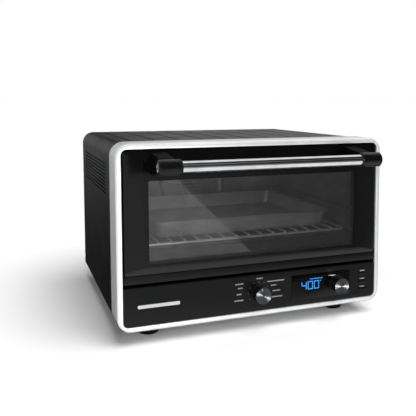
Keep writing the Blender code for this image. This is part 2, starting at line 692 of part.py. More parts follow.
def heaters():
    reach = HOLDER_X + HEATER_IN_HOLDER
    profile = [(0, reach), (HEATER_RADIUS - HEATER_TIP, reach), (HEATER_RADIUS, reach - HEATER_TIP)]
    profile += [(HEATER_RADIUS, HEATER_TIP - reach), (HEATER_RADIUS - HEATER_TIP, -reach), (0, -reach)]
    places = heater_places()
    for name, (y, z) in places.items():
        turned(name, HEATER_STEEL, profile, (0, y, z), X, 12)
    for level in ("upper", "lower"):
        front, z = places[f"{level}_front_heater"]
        rear = places[f"{level}_rear_heater"][0]
        for side, hand in ((-1, "left"), (1, "right")):
            inner, outer = sorted((side * HOLDER_X, side * (HOLDER_X + HOLDER_THICKNESS)))
            low = (inner, front - HOLDER_HEIGHT / 2, z - HOLDER_HEIGHT / 2)
            high = (outer, rear + HOLDER_HEIGHT / 2, z + HOLDER_HEIGHT / 2)
            holder = solid(f"{level}_{hand}_heater_holder", CERAMIC, [(low, high)])
            holes = [((inner - MM, y, z), (outer + MM, y, z), HEATER_RADIUS + GAP, 12) for y in (front, rear)]
            cut(holder, rods=holes, tag="holes")


def rack():
    corners = rounded((-RACK_HALF, RACK_NEAR), (RACK_HALF, RACK_FAR), RACK_CORNER, 4)
    loop = [(x, y, RACK_Z) for x, y in corners]
    frame = as_mesh(wire("wire_rack", CHROME, loop, RACK_WIRE, cyclic=True))
    count = 1 + int(2 * (RACK_HALF - CROSS_MARGIN) / CROSS_PITCH)
    wires = []
    for index in range(count):
        x = (index - (count - 1) / 2) * CROSS_PITCH
        start = (x, RACK_NEAR - CROSS_WIRE, CROSS_Z)
        wires.append((start, (x, RACK_FAR + CROSS_WIRE, CROSS_Z), CROSS_WIRE, 6))
    return weld_on(frame, rods=wires, tag="wires")


def tapered_box(name, material, low, high, taper, corner):
    """A box with round upright edges whose bottom is smaller than its top by taper on each side."""
    outline = rounded((low[0], low[1]), (high[0], high[1]), corner, 4)
    bm = bmesh.new()
    face = bm.faces.new([bm.verts.new((x, y, high[2])) for x, y in outline])
    bottom = bmesh.ops.extrude_face_region(bm, geom=[face])["geom"]
    middle = Vector(((low[0] + high[0]) / 2, (low[1] + high[1]) / 2, low[2]))
    size = (high[0] - low[0], high[1] - low[1])
    shrink = ((size[0] - 2 * taper) / size[0], (size[1] - 2 * taper) / size[1])
    for vert in (item for item in bottom if isinstance(item, bmesh.types.BMVert)):
        vert.co.x = middle.x + (vert.co.x - middle.x) * shrink[0]
        vert.co.y = middle.y + (vert.co.y - middle.y) * shrink[1]
        vert.co.z = middle.z
    bmesh.ops.recalc_face_normals(bm, faces=bm.faces)
    mesh = bpy.data.meshes.new(name)
    bm.to_mesh(mesh)
    bm.free()
    return place(bpy.data.objects.new(name, mesh), material)


def baking_pan():
    half = RACK_HALF - PAN_SIDE
    near = RACK_NEAR + PAN_FRONT
    far = RACK_FAR - PAN_REAR
    rim = PAN_LOW + PAN_HEIGHT
    low = (-half, near, PAN_LOW)
    pan = tapered_box("baking_pan", PAN_STEEL, low, (half, far, rim), PAN_TAPER, PAN_CORNER)
    flange_low = (-half - PAN_FLANGE, near - PAN_FLANGE, rim - PAN_SHEET)
    flange_high = (half + PAN_FLANGE, far + PAN_FLANGE, rim)
    flange = tapered_box("pan_flange", None, flange_low, flange_high, 0, PAN_CORNER + PAN_FLANGE)
    combine(pan, flange, "UNION")
    inner_low = (-half + PAN_SHEET, near + PAN_SHEET, PAN_LOW + PAN_SHEET)
    inner_high = (half - PAN_SHEET, far - PAN_SHEET, rim + PAN_SHEET)
    hollow = tapered_box("pan_hollow", None, inner_low, inner_high, PAN_TAPER, PAN_CORNER - PAN_SHEET)
    return combine(pan, hollow, "DIFFERENCE")


def crumb_tray():
    """A shallow tray on the cavity floor that draws out through the rear panel by its lip."""
    near = CAVITY_FRONT + TRAY_FRONT
    lip = REAR_PANEL_BACK + GAP
    sheet = ((-TRAY_HALF, near, TRAY_LOW), (TRAY_HALF, lip + SHEET, TRAY_TOP))
    tray = solid("crumb_tray", PAN_STEEL, [sheet])
    inner_low = (-TRAY_HALF + SHEET, near + SHEET, TRAY_LOW + SHEET)
    cut(tray, [(inner_low, (TRAY_HALF - SHEET, CAVITY_BACK, TRAY_TOP + SHEET))], tag="hollow")
    middle = (TRAY_LOW + TRAY_TOP) / 2
    lip_half = TRAY_HALF + TRAY_LIP_SIDE
    low = (-lip_half, lip, middle - TRAY_LIP_HEIGHT / 2)
    weld_on(tray, [(low, (lip_half, lip + SHEET, middle + TRAY_LIP_HEIGHT / 2))], tag="lip")
    grip_low = (-TRAY_GRIP / 2, lip + SHEET / 2, middle - SHEET)
    grip_high = (TRAY_GRIP / 2, REAR + SPACER_REACH - MM, middle + SHEET)
    weld_on(tray, [(grip_low, grip_high)], tag="grip")
    ride([tray], "crumb_tray_slide", (0, lip, middle))
    return tray


def control_panel():
    low_turn = BEZEL_INNER_RADIUS - PANEL_GAP
    low_centre = (PANEL_HALF - low_turn, PANEL_LOW + low_turn)
    high_centre = (PANEL_HALF - PANEL_ROUND, PANEL_TOP - PANEL_ROUND)
    outline = arc(low_centre, low_turn, -90, 0, 6) + arc(high_centre, PANEL_ROUND, 0, 90, 3)
    outline += [(-x, z) for x, z in reversed(outline)]
    back = PANEL_FRONT + PANEL_DEPTH
    panel = as_mesh(slab("control_panel", BLACK_PLASTIC, [outline], PANEL_FRONT, back))
    inner_low = (-PANEL_HALF + PANEL_WALL, PANEL_BACK, PANEL_LOW + PANEL_WALL)
    inner_high = (PANEL_HALF - PANEL_WALL, back + MM, PANEL_TOP - PANEL_WALL)
    cut(panel, [(inner_low, inner_high)], tag="hollow")
    lens_z = (CONTROL_Z - LENS_HEIGHT / 2 - GAP, CONTROL_Z + LENS_HEIGHT / 2 + GAP)
    lens_low = (LENS_LEFT - GAP, PANEL_FRONT - MM, lens_z[0])
    plate_x = -PANEL_HALF + NAMEPLATE_MARGIN - GAP
    plate_low = (plate_x, PANEL_FRONT - MM, CONTROL_Z - NAMEPLATE_HEIGHT / 2 - GAP)
    plate_high_x = plate_x + NAMEPLATE_WIDTH + 2 * GAP
    plate_high = (plate_high_x, PANEL_FRONT + 2 * GAP, CONTROL_Z + NAMEPLATE_HEIGHT / 2 + GAP)
    recesses = [(lens_low, (LENS_RIGHT + GAP, LENS_FLOOR + GAP, lens_z[1])), (plate_low, plate_high)]
    cut(panel, recesses, tag="recess")
    display_left = LENS_LEFT + DISPLAY_MARGIN
    display_low = (display_left, PANEL_FRONT, CONTROL_Z - DISPLAY_HEIGHT / 2)
    display_high = (display_left + DISPLAY_WIDTH, PANEL_BACK + MM, CONTROL_Z + DISPLAY_HEIGHT / 2)
    holes = [(display_low, display_high)]
    for z in button_levels():
        half = (BUTTON_WIDTH / 2 + BUTTON_CLEARANCE, BUTTON_HEIGHT / 2 + BUTTON_CLEARANCE)
        hole_low = (BUTTON_X - half[0], PANEL_FRONT - MM, z - half[1])
        holes.append((hole_low, (BUTTON_X + half[0], PANEL_BACK + MM, z + half[1])))
    shafts = []
    for x in (MODE_X, ADJUST_X):
        start = (x, PANEL_FRONT - MM, CONTROL_Z)
        shafts.append((start, (x, PANEL_BACK + MM, CONTROL_Z), SHAFT_RADIUS + 2 * GAP, 16))
    cut(panel, holes, shafts, tag="holes")
    bosses = []
    for x, z in board_corners():
        bosses.append(((x, PANEL_BACK - MM, z), (x, BOARD_FRONT - GAP, z), BOSS_RADIUS, 10))
    return weld_on(panel, rods=bosses, tag="bosses")


def button_levels():
    """Heights of the three buttons, from the lowest up."""
    return [CONTROL_Z - BUTTONS_BELOW_LINE + row * BUTTON_PITCH for row in (-1, 0, 1)]


def board_corners():
    inset = BOSS_RADIUS + BOSS_INSET
    left = BOARD_LEFT + inset
    right = PANEL_HALF - BOARD_MARGIN - inset
    low = PANEL_LOW + BOARD_MARGIN + inset
    high = PANEL_TOP - BOARD_MARGIN - inset
    return [(left, low), (left, high), (right, low), (right, high)]


def display():
    low = (LENS_LEFT, PANEL_FRONT - GAP, CONTROL_Z - LENS_HEIGHT / 2)
    lens = solid("display_lens", LENS_BLACK, [(low, (LENS_RIGHT, LENS_FLOOR, CONTROL_Z + LENS_HEIGHT / 2))])
    rod = ((ADJUST_X, PANEL_FRONT - MM, CONTROL_Z), (ADJUST_X, LENS_FLOOR + MM, CONTROL_Z))
    cut(lens, rods=[(*rod, SHAFT_RADIUS + 2 * GAP, 16)], tag="hole")
    left = LENS_LEFT + DISPLAY_MARGIN - DISPLAY_FRAME
    right = left + DISPLAY_WIDTH + 2 * DISPLAY_FRAME
    half = DISPLAY_HEIGHT / 2 + DISPLAY_FRAME
    module_low = (left, PANEL_BACK + GAP, CONTROL_Z - half)
    module_high = (right, PANEL_BACK + GAP + DISPLAY_THICKNESS, CONTROL_Z + half)
    solid("display_module", CIRCUIT, [(module_low, module_high)])
    plate_x = -PANEL_HALF + NAMEPLATE_MARGIN
    plate_back = PANEL_FRONT + GAP
    half = NAMEPLATE_HEIGHT / 2
    plate_low = (plate_x, plate_back - NAMEPLATE_THICKNESS, CONTROL_Z - half)
    solid("nameplate", ALUMINIUM, [(plate_low, (plate_x + NAMEPLATE_WIDTH, plate_back, CONTROL_Z + half))])


def rotary(kind, x):
    """A knob on its shaft, and the encoder that the shaft turns in."""
    back = PANEL_FRONT - KNOB_STANDOFF
    bore_end = SHAFT_IN_KNOB + GAP
    profile = [(0, KNOB_LENGTH), (KNOB_RADIUS - KNOB_ROUND, KNOB_LENGTH)]
    profile += [(KNOB_RADIUS, KNOB_LENGTH - KNOB_ROUND), (KNOB_RADIUS, 0)]
    profile += [(SHAFT_RADIUS + GAP, 0), (SHAFT_RADIUS + GAP, bore_end), (0, bore_end)]
    knob = turned(f"{kind}_knob", BLACK_PLASTIC, profile, (x, back, CONTROL_Z), -Y, 32)
    inside = ENCODER_BACK - ENCODER_FLOOR
    depth = back - inside
    stem = [(0, SHAFT_IN_KNOB), (SHAFT_RADIUS, SHAFT_IN_KNOB), (SHAFT_RADIUS, depth), (0, depth)]
    shaft = turned(f"{kind}_shaft", CHROME, stem, (x, back, CONTROL_Z), -Y, 16)
    ride([knob, shaft], f"{kind}_turn", (x, back, CONTROL_Z))
    half = ENCODER_SIZE / 2
    low = (x - half, PANEL_BACK + GAP, CONTROL_Z - half)
    encoder = solid(f"{kind}_encoder", CIRCUIT, [(low, (x + half, ENCODER_BACK, CONTROL_Z + half))])
    bore = ((x, PANEL_BACK, CONTROL_Z), (x, inside + GAP, CONTROL_Z), SHAFT_RADIUS + GAP, 16)
    cut(encoder, rods=[bore], tag="bore")


def buttons():
    """Three sprung push bars, each held behind the panel by a lip."""
    for name, z in zip(BUTTON_NAMES, button_levels()):
        front = PANEL_FRONT - BUTTON_PROUD
        half = (BUTTON_WIDTH / 2, BUTTON_HEIGHT / 2)
        back = BOARD_FRONT - SWITCH_PROUD - BUTTON_TRAVEL - SWITCH_CLEARANCE
        low = (BUTTON_X - half[0], front, z - half[1])
        button = solid(name, BUTTON_GREY, [(low, (BUTTON_X + half[0], back, z + half[1]))])
        lip_low = (low[0] - BUTTON_LIP, PANEL_BACK + GAP, low[2] - BUTTON_LIP)
        lip_high = (BUTTON_X + half[0] + BUTTON_LIP, PANEL_BACK + GAP + SHEET, z + half[1] + BUTTON_LIP)
        weld_on(button, [(lip_low, lip_high)], tag="lip")
        ride([button], f"{name}_press", (BUTTON_X, front, z))


def boards():
    low = (BOARD_LEFT, BOARD_FRONT, PANEL_LOW + BOARD_MARGIN)
    high = (PANEL_HALF - BOARD_MARGIN, BOARD_FRONT + BOARD_THICKNESS, PANEL_TOP - BOARD_MARGIN)
    board = solid("control_board", CIRCUIT, [(low, high)])
    half = SWITCH_SIZE / 2
    switch_front = BOARD_FRONT - SWITCH_PROUD
    switches = []
    for z in button_levels():
        switch_low = (BUTTON_X - half, switch_front, z - half)
        switches.append((switch_low, (BUTTON_X + half, BOARD_FRONT + MM, z + half)))
    weld_on(board, switches, tag="switches")

    right = SHELL_MIDDLE - SHEET - POWER_BOARD_SIDE
    left = right - POWER_BOARD[0]
    near = FACE + POWER_BOARD_BEHIND
    far = near + POWER_BOARD[1]
    board_low = BASE_TOP + POWER_BOARD_RISE
    board_top = board_low + BOARD_THICKNESS
    power = solid("power_board", CIRCUIT, [((left, near, board_low), (right, far, board_top))])
    parts = []
    for x, y, width, length, height in POWER_PARTS:
        corner = (left + x * MM, near + y * MM, board_low + MM)
        parts.append((corner, (corner[0] + width * MM, corner[1] + length * MM, board_top + height * MM)))
    weld_on(power, parts, tag="parts")
    posts = []
    for x in (left + POWER_POST_INSET, right - POWER_POST_INSET):
        for y in (near + POWER_POST_INSET, far - POWER_POST_INSET):
            posts.append(((x, y, BASE_TOP + GAP), (x, y, board_low + MM), BOSS_RADIUS, 8))
    weld_on(power, rods=posts, tag="posts")


def door():
    glass_low = RAIL_TOP + DOOR_SEAM
    outline = rounded((-DOOR_HALF, glass_low), (DOOR_HALF, DOOR_TOP), DOOR_CORNER, 3)
    screws = [arc((side * ARM_X, HANDLE_Z), SCREW_RADIUS + 2 * GAP, 0, 330, 11) for side in (-1, 1)]
    glass = slab("door_glass", GLASS, [outline] + screws, DOOR_FRONT, GLASS_BACK)

    window = rounded((-WINDOW_HALF, WINDOW_LOW), (WINDOW_HALF, WINDOW_TOP), WINDOW_RADIUS, 3)
    half = DOOR_HALF - FRAME_INSET
    border = rounded((-half, RAIL_TOP + GAP), (half, DOOR_TOP - FRAME_INSET), DOOR_CORNER, 3)
    frame = slab("door_frame", BLACK_STEEL, [border, window] + screws, FRAME_FRONT, FRAME_BACK)

    over = INNER_GLASS_OVERLAP
    pane = rounded(
        (-WINDOW_HALF - over, WINDOW_LOW - over + INNER_GLASS_LIFT),
        (WINDOW_HALF + over, WINDOW_TOP + over),
        DOOR_CORNER,
        3,
    )
    pane_front = FRAME_BACK + GAP
    inner = slab("door_inner_glass", GLASS, [pane], pane_front, pane_front + INNER_GLASS_THICKNESS)

    rail_box = ((-DOOR_HALF, DOOR_FRONT, DOOR_LOW), (DOOR_HALF, DOOR_BACK, RAIL_TOP))
    rail = solid("door_rail", BLACK_PLASTIC, [rail_box])
    bores = []
    for side in (-1, 1):
        start = (side * (DOOR_HALF - PIN_IN_RAIL - GAP), HINGE_Y, HINGE_Z)
        bores.append((start, (side * HALF, HINGE_Y, HINGE_Z), PIN_RADIUS + GAP, 16))
    cut(rail, rods=bores, tag="bores")
    return [glass, frame, inner, rail]


def handle():
    """A round bar held at both ends in black caps, whose arms are screwed on from behind the glass."""
    bar = turned(
        "handle_bar",
        CHROME,
        [(0, BAR_END_X), (BAR_RADIUS, BAR_END_X), (BAR_RADIUS, -BAR_END_X), (0, -BAR_END_X)],
        (0, HANDLE_Y, HANDLE_Z),
        X,
        24,
    )
    pieces = [bar]
    foot_back = DOOR_FRONT - GAP
    face = CAP_RADIUS - CAP_CHAMFER
    for side, hand in ((-1, "left"), (1, "right")):
        axis = X * side
        profile = [(0, CAP_END_X), (face, CAP_END_X), (CAP_RADIUS, CAP_END_X - CAP_CHAMFER)]
        profile += [(CAP_RADIUS, CAP_INNER_X + CAP_CHAMFER), (face, CAP_INNER_X), (0, CAP_INNER_X)]
        cap = turned(f"handle_cap_{hand}", BLACK_PLASTIC, profile, (0, HANDLE_Y, HANDLE_Z), axis, 24)
        arm = handle_arm(f"handle_arm_{hand}", side * ARM_X, foot_back)
        combine(cap, arm, "UNION")
        bore_start = (side * (CAP_INNER_X - MM), HANDLE_Y, HANDLE_Z)
        bore_end = (side * (BAR_END_X + GAP), HANDLE_Y, HANDLE_Z)
        cut(cap, rods=[(bore_start, bore_end, BAR_RADIUS + GAP, 24)], tag="bore")
        tip = foot_back - SCREW_IN_ARM
        hole = ((side * ARM_X, foot_back + MM, HANDLE_Z), (side * ARM_X, tip - GAP, HANDLE_Z))
        cut(cap, rods=[(*hole, SCREW_RADIUS + GAP, 12)], tag="screw_hole")
        head = FRAME_BACK + GAP
        screw = [(0, SCREW_HEAD_HEIGHT), (SCREW_HEAD, SCREW_HEAD_HEIGHT), (SCREW_HEAD, 0), (SCREW_RADIUS, 0)]
        screw += [(SCREW_RADIUS, tip - head), (0, tip - head)]
        pieces.append(turned(f"handle_screw_{hand}", CHROME, screw, (side * ARM_X, head, HANDLE_Z), Y, 12))
        pieces.append(cap)
    return pieces


def handle_arm(name, x, back):
    """A block from the cap's axis to the door that grows taller towards the door."""
    arm = solid(name, None, [((x - ARM_WIDTH / 2, HANDLE_Y, 0), (x + ARM_WIDTH / 2, back, 1))])
    for vert in arm.data.vertices:
        height = ARM_FOOT_HEIGHT if vert.co.y > (HANDLE_Y + back) / 2 else ARM_HEAD_HEIGHT
        vert.co.z = HANDLE_Z + (vert.co.z - 0.5) * height
    return arm


def hinges():
    """Fixed brackets and pins at the door's lower corners, and the springs that balance the door."""
    back = FRAME_PLATE_FRONT - GAP
    for side, hand in ((-1, "left"), (1, "right")):
        near = DOOR_HALF + HINGE_PLAY
        inner, outer = sorted((side * near, side * (near + BRACKET_THICKNESS)))
        low = (inner, HINGE_Y - PIN_RADIUS - BRACKET_FRONT, DOOR_LOW - MM)
        bracket = solid(f"hinge_bracket_{hand}", DARK_STEEL, [(low, (outer, back, low[2] + BRACKET_HEIGHT))])
        hole = ((inner - MM, HINGE_Y, HINGE_Z), (outer + MM, HINGE_Y, HINGE_Z), PIN_RADIUS + GAP, 16)
        cut(bracket, rods=[hole], tag="hole")
        reach = near + BRACKET_THICKNESS
        start = DOOR_HALF - PIN_IN_RAIL
        pin = [(0, reach - start), (PIN_RADIUS, reach - start), (PIN_RADIUS, 0), (0, 0)]
        turned(f"hinge_pin_{hand}", CHROME, pin, (side * start, HINGE_Y, HINGE_Z), X * side, 16)
        coil = []
        spring_start = FRAME_PLATE_BACK + GAP + SPRING_WIRE
        for step in range(SPRING_TURNS * SPRING_STEPS + 1):
            turn = 2 * math.pi * step / SPRING_STEPS
            y = spring_start + SPRING_LENGTH * step / (SPRING_TURNS * SPRING_STEPS)
            x = side * (CAVITY_HALF + SIDE_BAY / 2) + SPRING_RADIUS * math.cos(turn)
            coil.append((x, y, HINGE_Z + SPRING_RADIUS * math.sin(turn)))
        wire(f"door_spring_{hand}", CHROME, coil, SPRING_WIRE, roundness=1)


def fan():
    rim = COVER_RADIUS + COVER_FLANGE
    inner = COVER_RADIUS - SHEET
    shoulder = COVER_DEPTH - COVER_ROUND
    ceiling = COVER_DEPTH - SHEET
    profile = [(0, COVER_DEPTH), (COVER_RADIUS - COVER_ROUND, COVER_DEPTH), (COVER_RADIUS, shoulder)]
    profile += [(COVER_RADIUS, SHEET), (rim, SHEET), (rim, 0), (inner, 0)]
    profile += [(inner, shoulder - SHEET / 2), (inner - COVER_ROUND, ceiling), (0, ceiling)]
    base = (FAN_X, COVER_FRONT + COVER_DEPTH, FAN_Z)
    cover = turned("fan_cover", ENAMEL, profile, base, -Y, 32)
    holes = []
    rings = int((COVER_RADIUS - 2 * COVER_HOLE) / COVER_PITCH)
    for ring in range(rings + 1):
        for spot in range(max(1, 6 * ring)):
            turn = 2 * math.pi * spot / max(1, 6 * ring)
            x = FAN_X + ring * COVER_PITCH * math.cos(turn)
            z = FAN_Z + ring * COVER_PITCH * math.sin(turn)
            holes.append(((x, COVER_FRONT - MM, z), (x, COVER_FRONT + 2 * SHEET, z), COVER_HOLE, 6))
    cut(cover, rods=holes, tag="holes")

    bore = AXLE_RADIUS + GAP
    hub_back = BACK_PLATE_FRONT - MM
    disc = [(bore, 0), (HUB_RADIUS, 0), (HUB_RADIUS, -BLADE_HEIGHT), (FAN_RADIUS, -BLADE_HEIGHT)]
    disc += [(FAN_RADIUS, FAN_FRONT - FAN_BACK), (HUB_RADIUS, FAN_FRONT - FAN_BACK)]
    disc += [(HUB_RADIUS, FAN_FRONT - hub_back), (bore, FAN_FRONT - hub_back)]
    rotor = turned("convection_fan", PAN_STEEL, disc, (FAN_X, FAN_FRONT, FAN_Z), -Y, 24, closed=True)
    blade_low = (HUB_RADIUS + BLADE_ROOT, -BLADE_THICKNESS / 2, 0)
    blade_high = (FAN_RADIUS - BLADE_TIP, BLADE_THICKNESS / 2, BLADE_HEIGHT)
    blades = solid("fan_blades", None, [(blade_low, blade_high)])
    bm = bmesh.new()
    bm.from_mesh(blades.data)
    first = bm.verts[:] + bm.edges[:] + bm.faces[:]
    for index in range(1, BLADE_COUNT):
        copy = bmesh.ops.duplicate(bm, geom=first)["geom"]
        corners = [item for item in copy if isinstance(item, bmesh.types.BMVert)]
        turn = Matrix.Rotation(2 * math.pi * index / BLADE_COUNT, 3, "Z")
        bmesh.ops.rotate(bm, verts=corners, matrix=turn)
    bm.to_mesh(blades.data)
    bm.free()
    blades.rotation_euler.x = -math.pi / 2
    blades.location = (FAN_X, FAN_FRONT + SHEET / 2, FAN_Z)
    combine(rotor, blades, "UNION")

    axle_back = MOTOR_FRONT + MOTOR_LENGTH / 2
    axle_length = axle_back - FAN_FRONT
    axle = [(0, 0), (AXLE_RADIUS, 0), (AXLE_RADIUS, -axle_length), (0, -axle_length)]
    shaft = turned("fan_shaft", CHROME, axle, (FAN_X, FAN_FRONT, FAN_Z), -Y, 16)
    ride([rotor, shaft], "fan_turn", (FAN_X, FAN_FRONT, FAN_Z))

    bore_depth = MOTOR_LENGTH / 2 + GAP
    narrow = MOTOR_RADIUS - MOTOR_ROUND
    body = [(bore, 0), (narrow, 0), (MOTOR_RADIUS, -MOTOR_ROUND), (MOTOR_RADIUS, MOTOR_ROUND - MOTOR_LENGTH)]
    body += [(narrow, -MOTOR_LENGTH), (0, -MOTOR_LENGTH), (0, -bore_depth), (bore, -bore_depth)]
    motor = turned("fan_motor", DARK_STEEL, body, (FAN_X, MOTOR_FRONT, FAN_Z), -Y, 24, closed=True)
    reach = MOTOR_POST_X + STRAP_END
    strap_front = MOTOR_FRONT + STRAP_BEHIND
    strap_back = strap_front + STRAP_THICKNESS
    strap_low = (FAN_X - reach, strap_front, FAN_Z - STRAP_WIDTH / 2)
    strap_high = (FAN_X + reach, strap_back, FAN_Z + STRAP_WIDTH / 2)
    strap = solid("motor_strap", None, [(strap_low, strap_high)])
    hole = ((FAN_X, MOTOR_FRONT, FAN_Z), (FAN_X, strap_back + STRAP_OVERLAP, FAN_Z))
    cut(strap, rods=[(*hole, MOTOR_RADIUS - STRAP_OVERLAP, 24)])
    combine(motor, strap, "UNION")
    posts = []
    for side in (-1, 1):
        x = FAN_X + side * MOTOR_POST_X
        post_end = (x, (strap_front + strap_back) / 2, FAN_Z)
        posts.append(((x, BACK_PLATE_BACK + GAP, FAN_Z), post_end, BOSS_RADIUS, 10))
    weld_on(motor, rods=posts, tag="posts")


for old in list(bpy.data.objects):
    bpy.data.objects.remove(old, do_unlink=True)
PARTS = new_collection("toaster_oven")
CUTTERS = new_collection("cutters")

ALUMINIUM = finish("brushed_aluminium", (0.72, 0.73, 0.74), 0.35, 1.0)
CHROME = finish("chromed_steel", (0.85, 0.85, 0.86), 0.12, 1.0)
BLACK_STEEL = finish("black_painted_steel", (0.02, 0.02, 0.022), 0.45)
GREY_STEEL = finish("galvanised_steel", (0.42, 0.43, 0.44), 0.45, 1.0)
DARK_STEEL = finish("dark_steel", (0.12, 0.12, 0.125), 0.4, 1.0)
ENAMEL = finish("grey_enamel", (0.09, 0.09, 0.095), 0.35)
PAN_STEEL = finish("nonstick_steel", (0.15, 0.15, 0.155), 0.35, 1.0)
HEATER_STEEL = finish("heater_sheath", (0.2, 0.19, 0.18), 0.5, 1.0)
CERAMIC = finish("ceramic", (0.75, 0.73, 0.68), 0.7)
BLACK_PLASTIC = finish("black_plastic", (0.015, 0.015, 0.016), 0.35)
RUBBER = finish("black_rubber", (0.01, 0.01, 0.01), 0.75)
LENS_BLACK = finish("gloss_black_acrylic", (0.004, 0.004, 0.005), 0.06)
BUTTON_GREY = finish("grey_plastic", (0.25, 0.25, 0.26), 0.4)
CIRCUIT = finish("circuit_board", (0.02, 0.12, 0.05), 0.5)
GLASS = finish("tempered_glass", (0.03, 0.03, 0.035), 0.05, alpha=0.5)

front_bezel()
outer_shell()
rear_panel()
base_pan()
feet()
rear_fittings()
front_frame()
cavity()
heaters()
rack_pieces = [rack(), baking_pan()]
ride(rack_pieces, "rack_slide", (0, RACK_NEAR, RACK_Z))
crumb_tray()
control_panel()
display()
rotary("mode", MODE_X)
rotary("adjust", ADJUST_X)
buttons()
boards()
ride(door() + handle(), "door_hinge", (0, HINGE_Y, HINGE_Z))
hinges()
fan()
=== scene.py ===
"""Looks of a countertop toaster oven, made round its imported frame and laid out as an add-on.

+Z is up, the front faces -Y and +X is to the right when facing the oven. Sizes are in metres. Each
piece is finished with its place in its mesh, and moves with the body of the frame that it names.
"""

import math

import bpy
from bpy.props import FloatProperty, FloatVectorProperty, IntProperty, PointerProperty, StringProperty
from mathutils import Matrix, Vector


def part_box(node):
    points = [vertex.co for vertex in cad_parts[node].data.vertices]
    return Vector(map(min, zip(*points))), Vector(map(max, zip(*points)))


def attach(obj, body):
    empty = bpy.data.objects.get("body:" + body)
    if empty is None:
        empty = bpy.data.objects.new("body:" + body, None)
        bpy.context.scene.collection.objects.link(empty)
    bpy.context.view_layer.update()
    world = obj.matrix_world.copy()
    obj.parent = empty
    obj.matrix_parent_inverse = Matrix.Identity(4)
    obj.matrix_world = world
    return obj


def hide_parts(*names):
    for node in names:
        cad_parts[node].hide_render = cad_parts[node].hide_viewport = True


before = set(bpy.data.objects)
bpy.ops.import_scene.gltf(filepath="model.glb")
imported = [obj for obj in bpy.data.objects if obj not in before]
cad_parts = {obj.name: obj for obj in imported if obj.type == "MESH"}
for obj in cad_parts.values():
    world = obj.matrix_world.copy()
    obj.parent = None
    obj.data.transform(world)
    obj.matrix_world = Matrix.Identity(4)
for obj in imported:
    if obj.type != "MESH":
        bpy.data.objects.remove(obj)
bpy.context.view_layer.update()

bl_info = {
    "name": "Toaster Oven",
    "version": (1, 0, 0),
    "blender": (4, 5, 0),
    "location": "View3D > Sidebar > Oven",
    "description": "Builds the visible pieces and finishes of a toaster oven round its frame",
    "category": "Object",
}

MM = 0.001
TOUCH = 0.02 * MM
BOX = {name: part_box(name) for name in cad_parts}


def middle(node):
    low, high = BOX[node]
    return (low + high) / 2


# Colours


def linear(text):
    """The linear colour of an sRGB hex value such as #1A2B3C."""
    parts = [int(text[i:i + 2], 16) / 255 for i in (1, 3, 5)]
    parts = [c / 12.92 if c <= 0.04045 else ((c + 0.055) / 1.055) ** 2.4 for c in parts]
    return (*parts, 1.0)


def colour(name, text, description):
    return FloatVectorProperty(
        name=name, description=description, default=linear(text)[:3], subtype="COLOR", min=0, max=1
    )


def length(name, default, description):
    return FloatProperty(name=name, description=description, default=default, unit="LENGTH", precision=5)


# Sizes and colours that a user would change


class OvenCase(bpy.types.PropertyGroup):
    corner: length("Corner", 21 * MM, "Radius of the case's long edges")
    foot_corner: length("Lower corner", 13 * MM, "Radius of the case's lower long edges")
    roll: length("Rolled edge", 3 * MM, "Width of the bezel's rounded outer edge")
    border: length("Border", 7.9 * MM, "Width of the bezel round the opening")
    opening_corner: length("Opening corner", 8.5 * MM, "Radius of the opening's corners")
    louvre: length("Louvre", 2.6 * MM, "Height of a side louvre")
    louvre_pitch: length("Louvre pitch", 5.75 * MM, "Distance between side louvres")
    louvre_count: IntProperty(name="Louvres", description="Louvres on each side", default=9, min=1)
    groove: length("Groove", 3 * MM, "Width of a bead pressed in the top")
    groove_pitch: length("Groove pitch", 39.4 * MM, "Distance between the beads on top")
    groove_count: IntProperty(name="Grooves", description="Beads across the top", default=10, min=1)
    bright: colour("Bright metal", "#F3F4F5", "Brushed aluminium of the bezel")
    dark: colour("Paint", "#070708", "Powder paint of the case")


class OvenDoor(bpy.types.PropertyGroup):
    side: length("Window side", 35.7 * MM, "Printed border beside the window")
    above: length("Window above", 42.9 * MM, "Printed border over the window")
    below: length("Window below", 12.8 * MM, "Printed border under the window")
    corner: length("Corner", 4 * MM, "Radius of the glass's corners")
    cap: length("Cap chamfer", 1.6 * MM, "Chamfer of the handle's end caps")
    print: colour("Printed border", "#070708", "Black enamel fired on the back of the glass")
    tint: colour("Tint", "#F0F0F0", "What the door's glass lets through")


class OvenControls(bpy.types.PropertyGroup):
    text: StringProperty(name="Reading", description="Digits on the display", default="400")
    edge: length("Panel edge", 1.2 * MM, "Rounding of the panel's front edge")
    face: length("Knob rim", 0.7 * MM, "Black rim round a knob's metal face")
    lit: colour("Digits", "#2E9BFF", "Light of the display")
    ink: colour("Ink", "#A9ABAD", "Printed marks")
    plastic: colour("Panel", "#08090A", "Moulded panel")


class OvenInside(bpy.types.PropertyGroup):
    hole: length("Hole", 3.2 * MM, "Width of a hole in the fan's cover")
    hole_pitch: length("Hole pitch", 7 * MM, "Distance between the cover's holes")
    wire: length("Rack wire", 2.2 * MM, "Radius of the rack's rim wire")
    cross_wire: length("Cross wire", 1.5 * MM, "Radius of the rack's cross wires")
    cross_pitch: length("Cross pitch", 21 * MM, "Distance between cross wires")
    lining: colour("Lining", "#7A7A7A", "Aluminised steel of the cavity")
    pan: colour("Pan", "#A0A1A1", "Steel of the baking pan")


class OvenStage(bpy.types.PropertyGroup):
    lens: FloatProperty(name="Lens", description="Focal length", default=52.38, unit="CAMERA")
    place: FloatVectorProperty(
        name="Camera", description="Camera's place", default=(-0.3554, -0.9941, 0.3509), subtype="XYZ"
    )
    turn: FloatProperty(
        name="Turn", description="Camera's turn to the right", default=0.3699, unit="ROTATION"
    )
    tilt: FloatProperty(name="Tilt", description="Camera's tilt down", default=0.0802, unit="ROTATION")
    shift: FloatVectorProperty(name="Shift", description="Lens shift", default=(-0.0769, -0.1394), size=2)
    floor: colour("Floor", "#F4F4F4", "Pale floor")


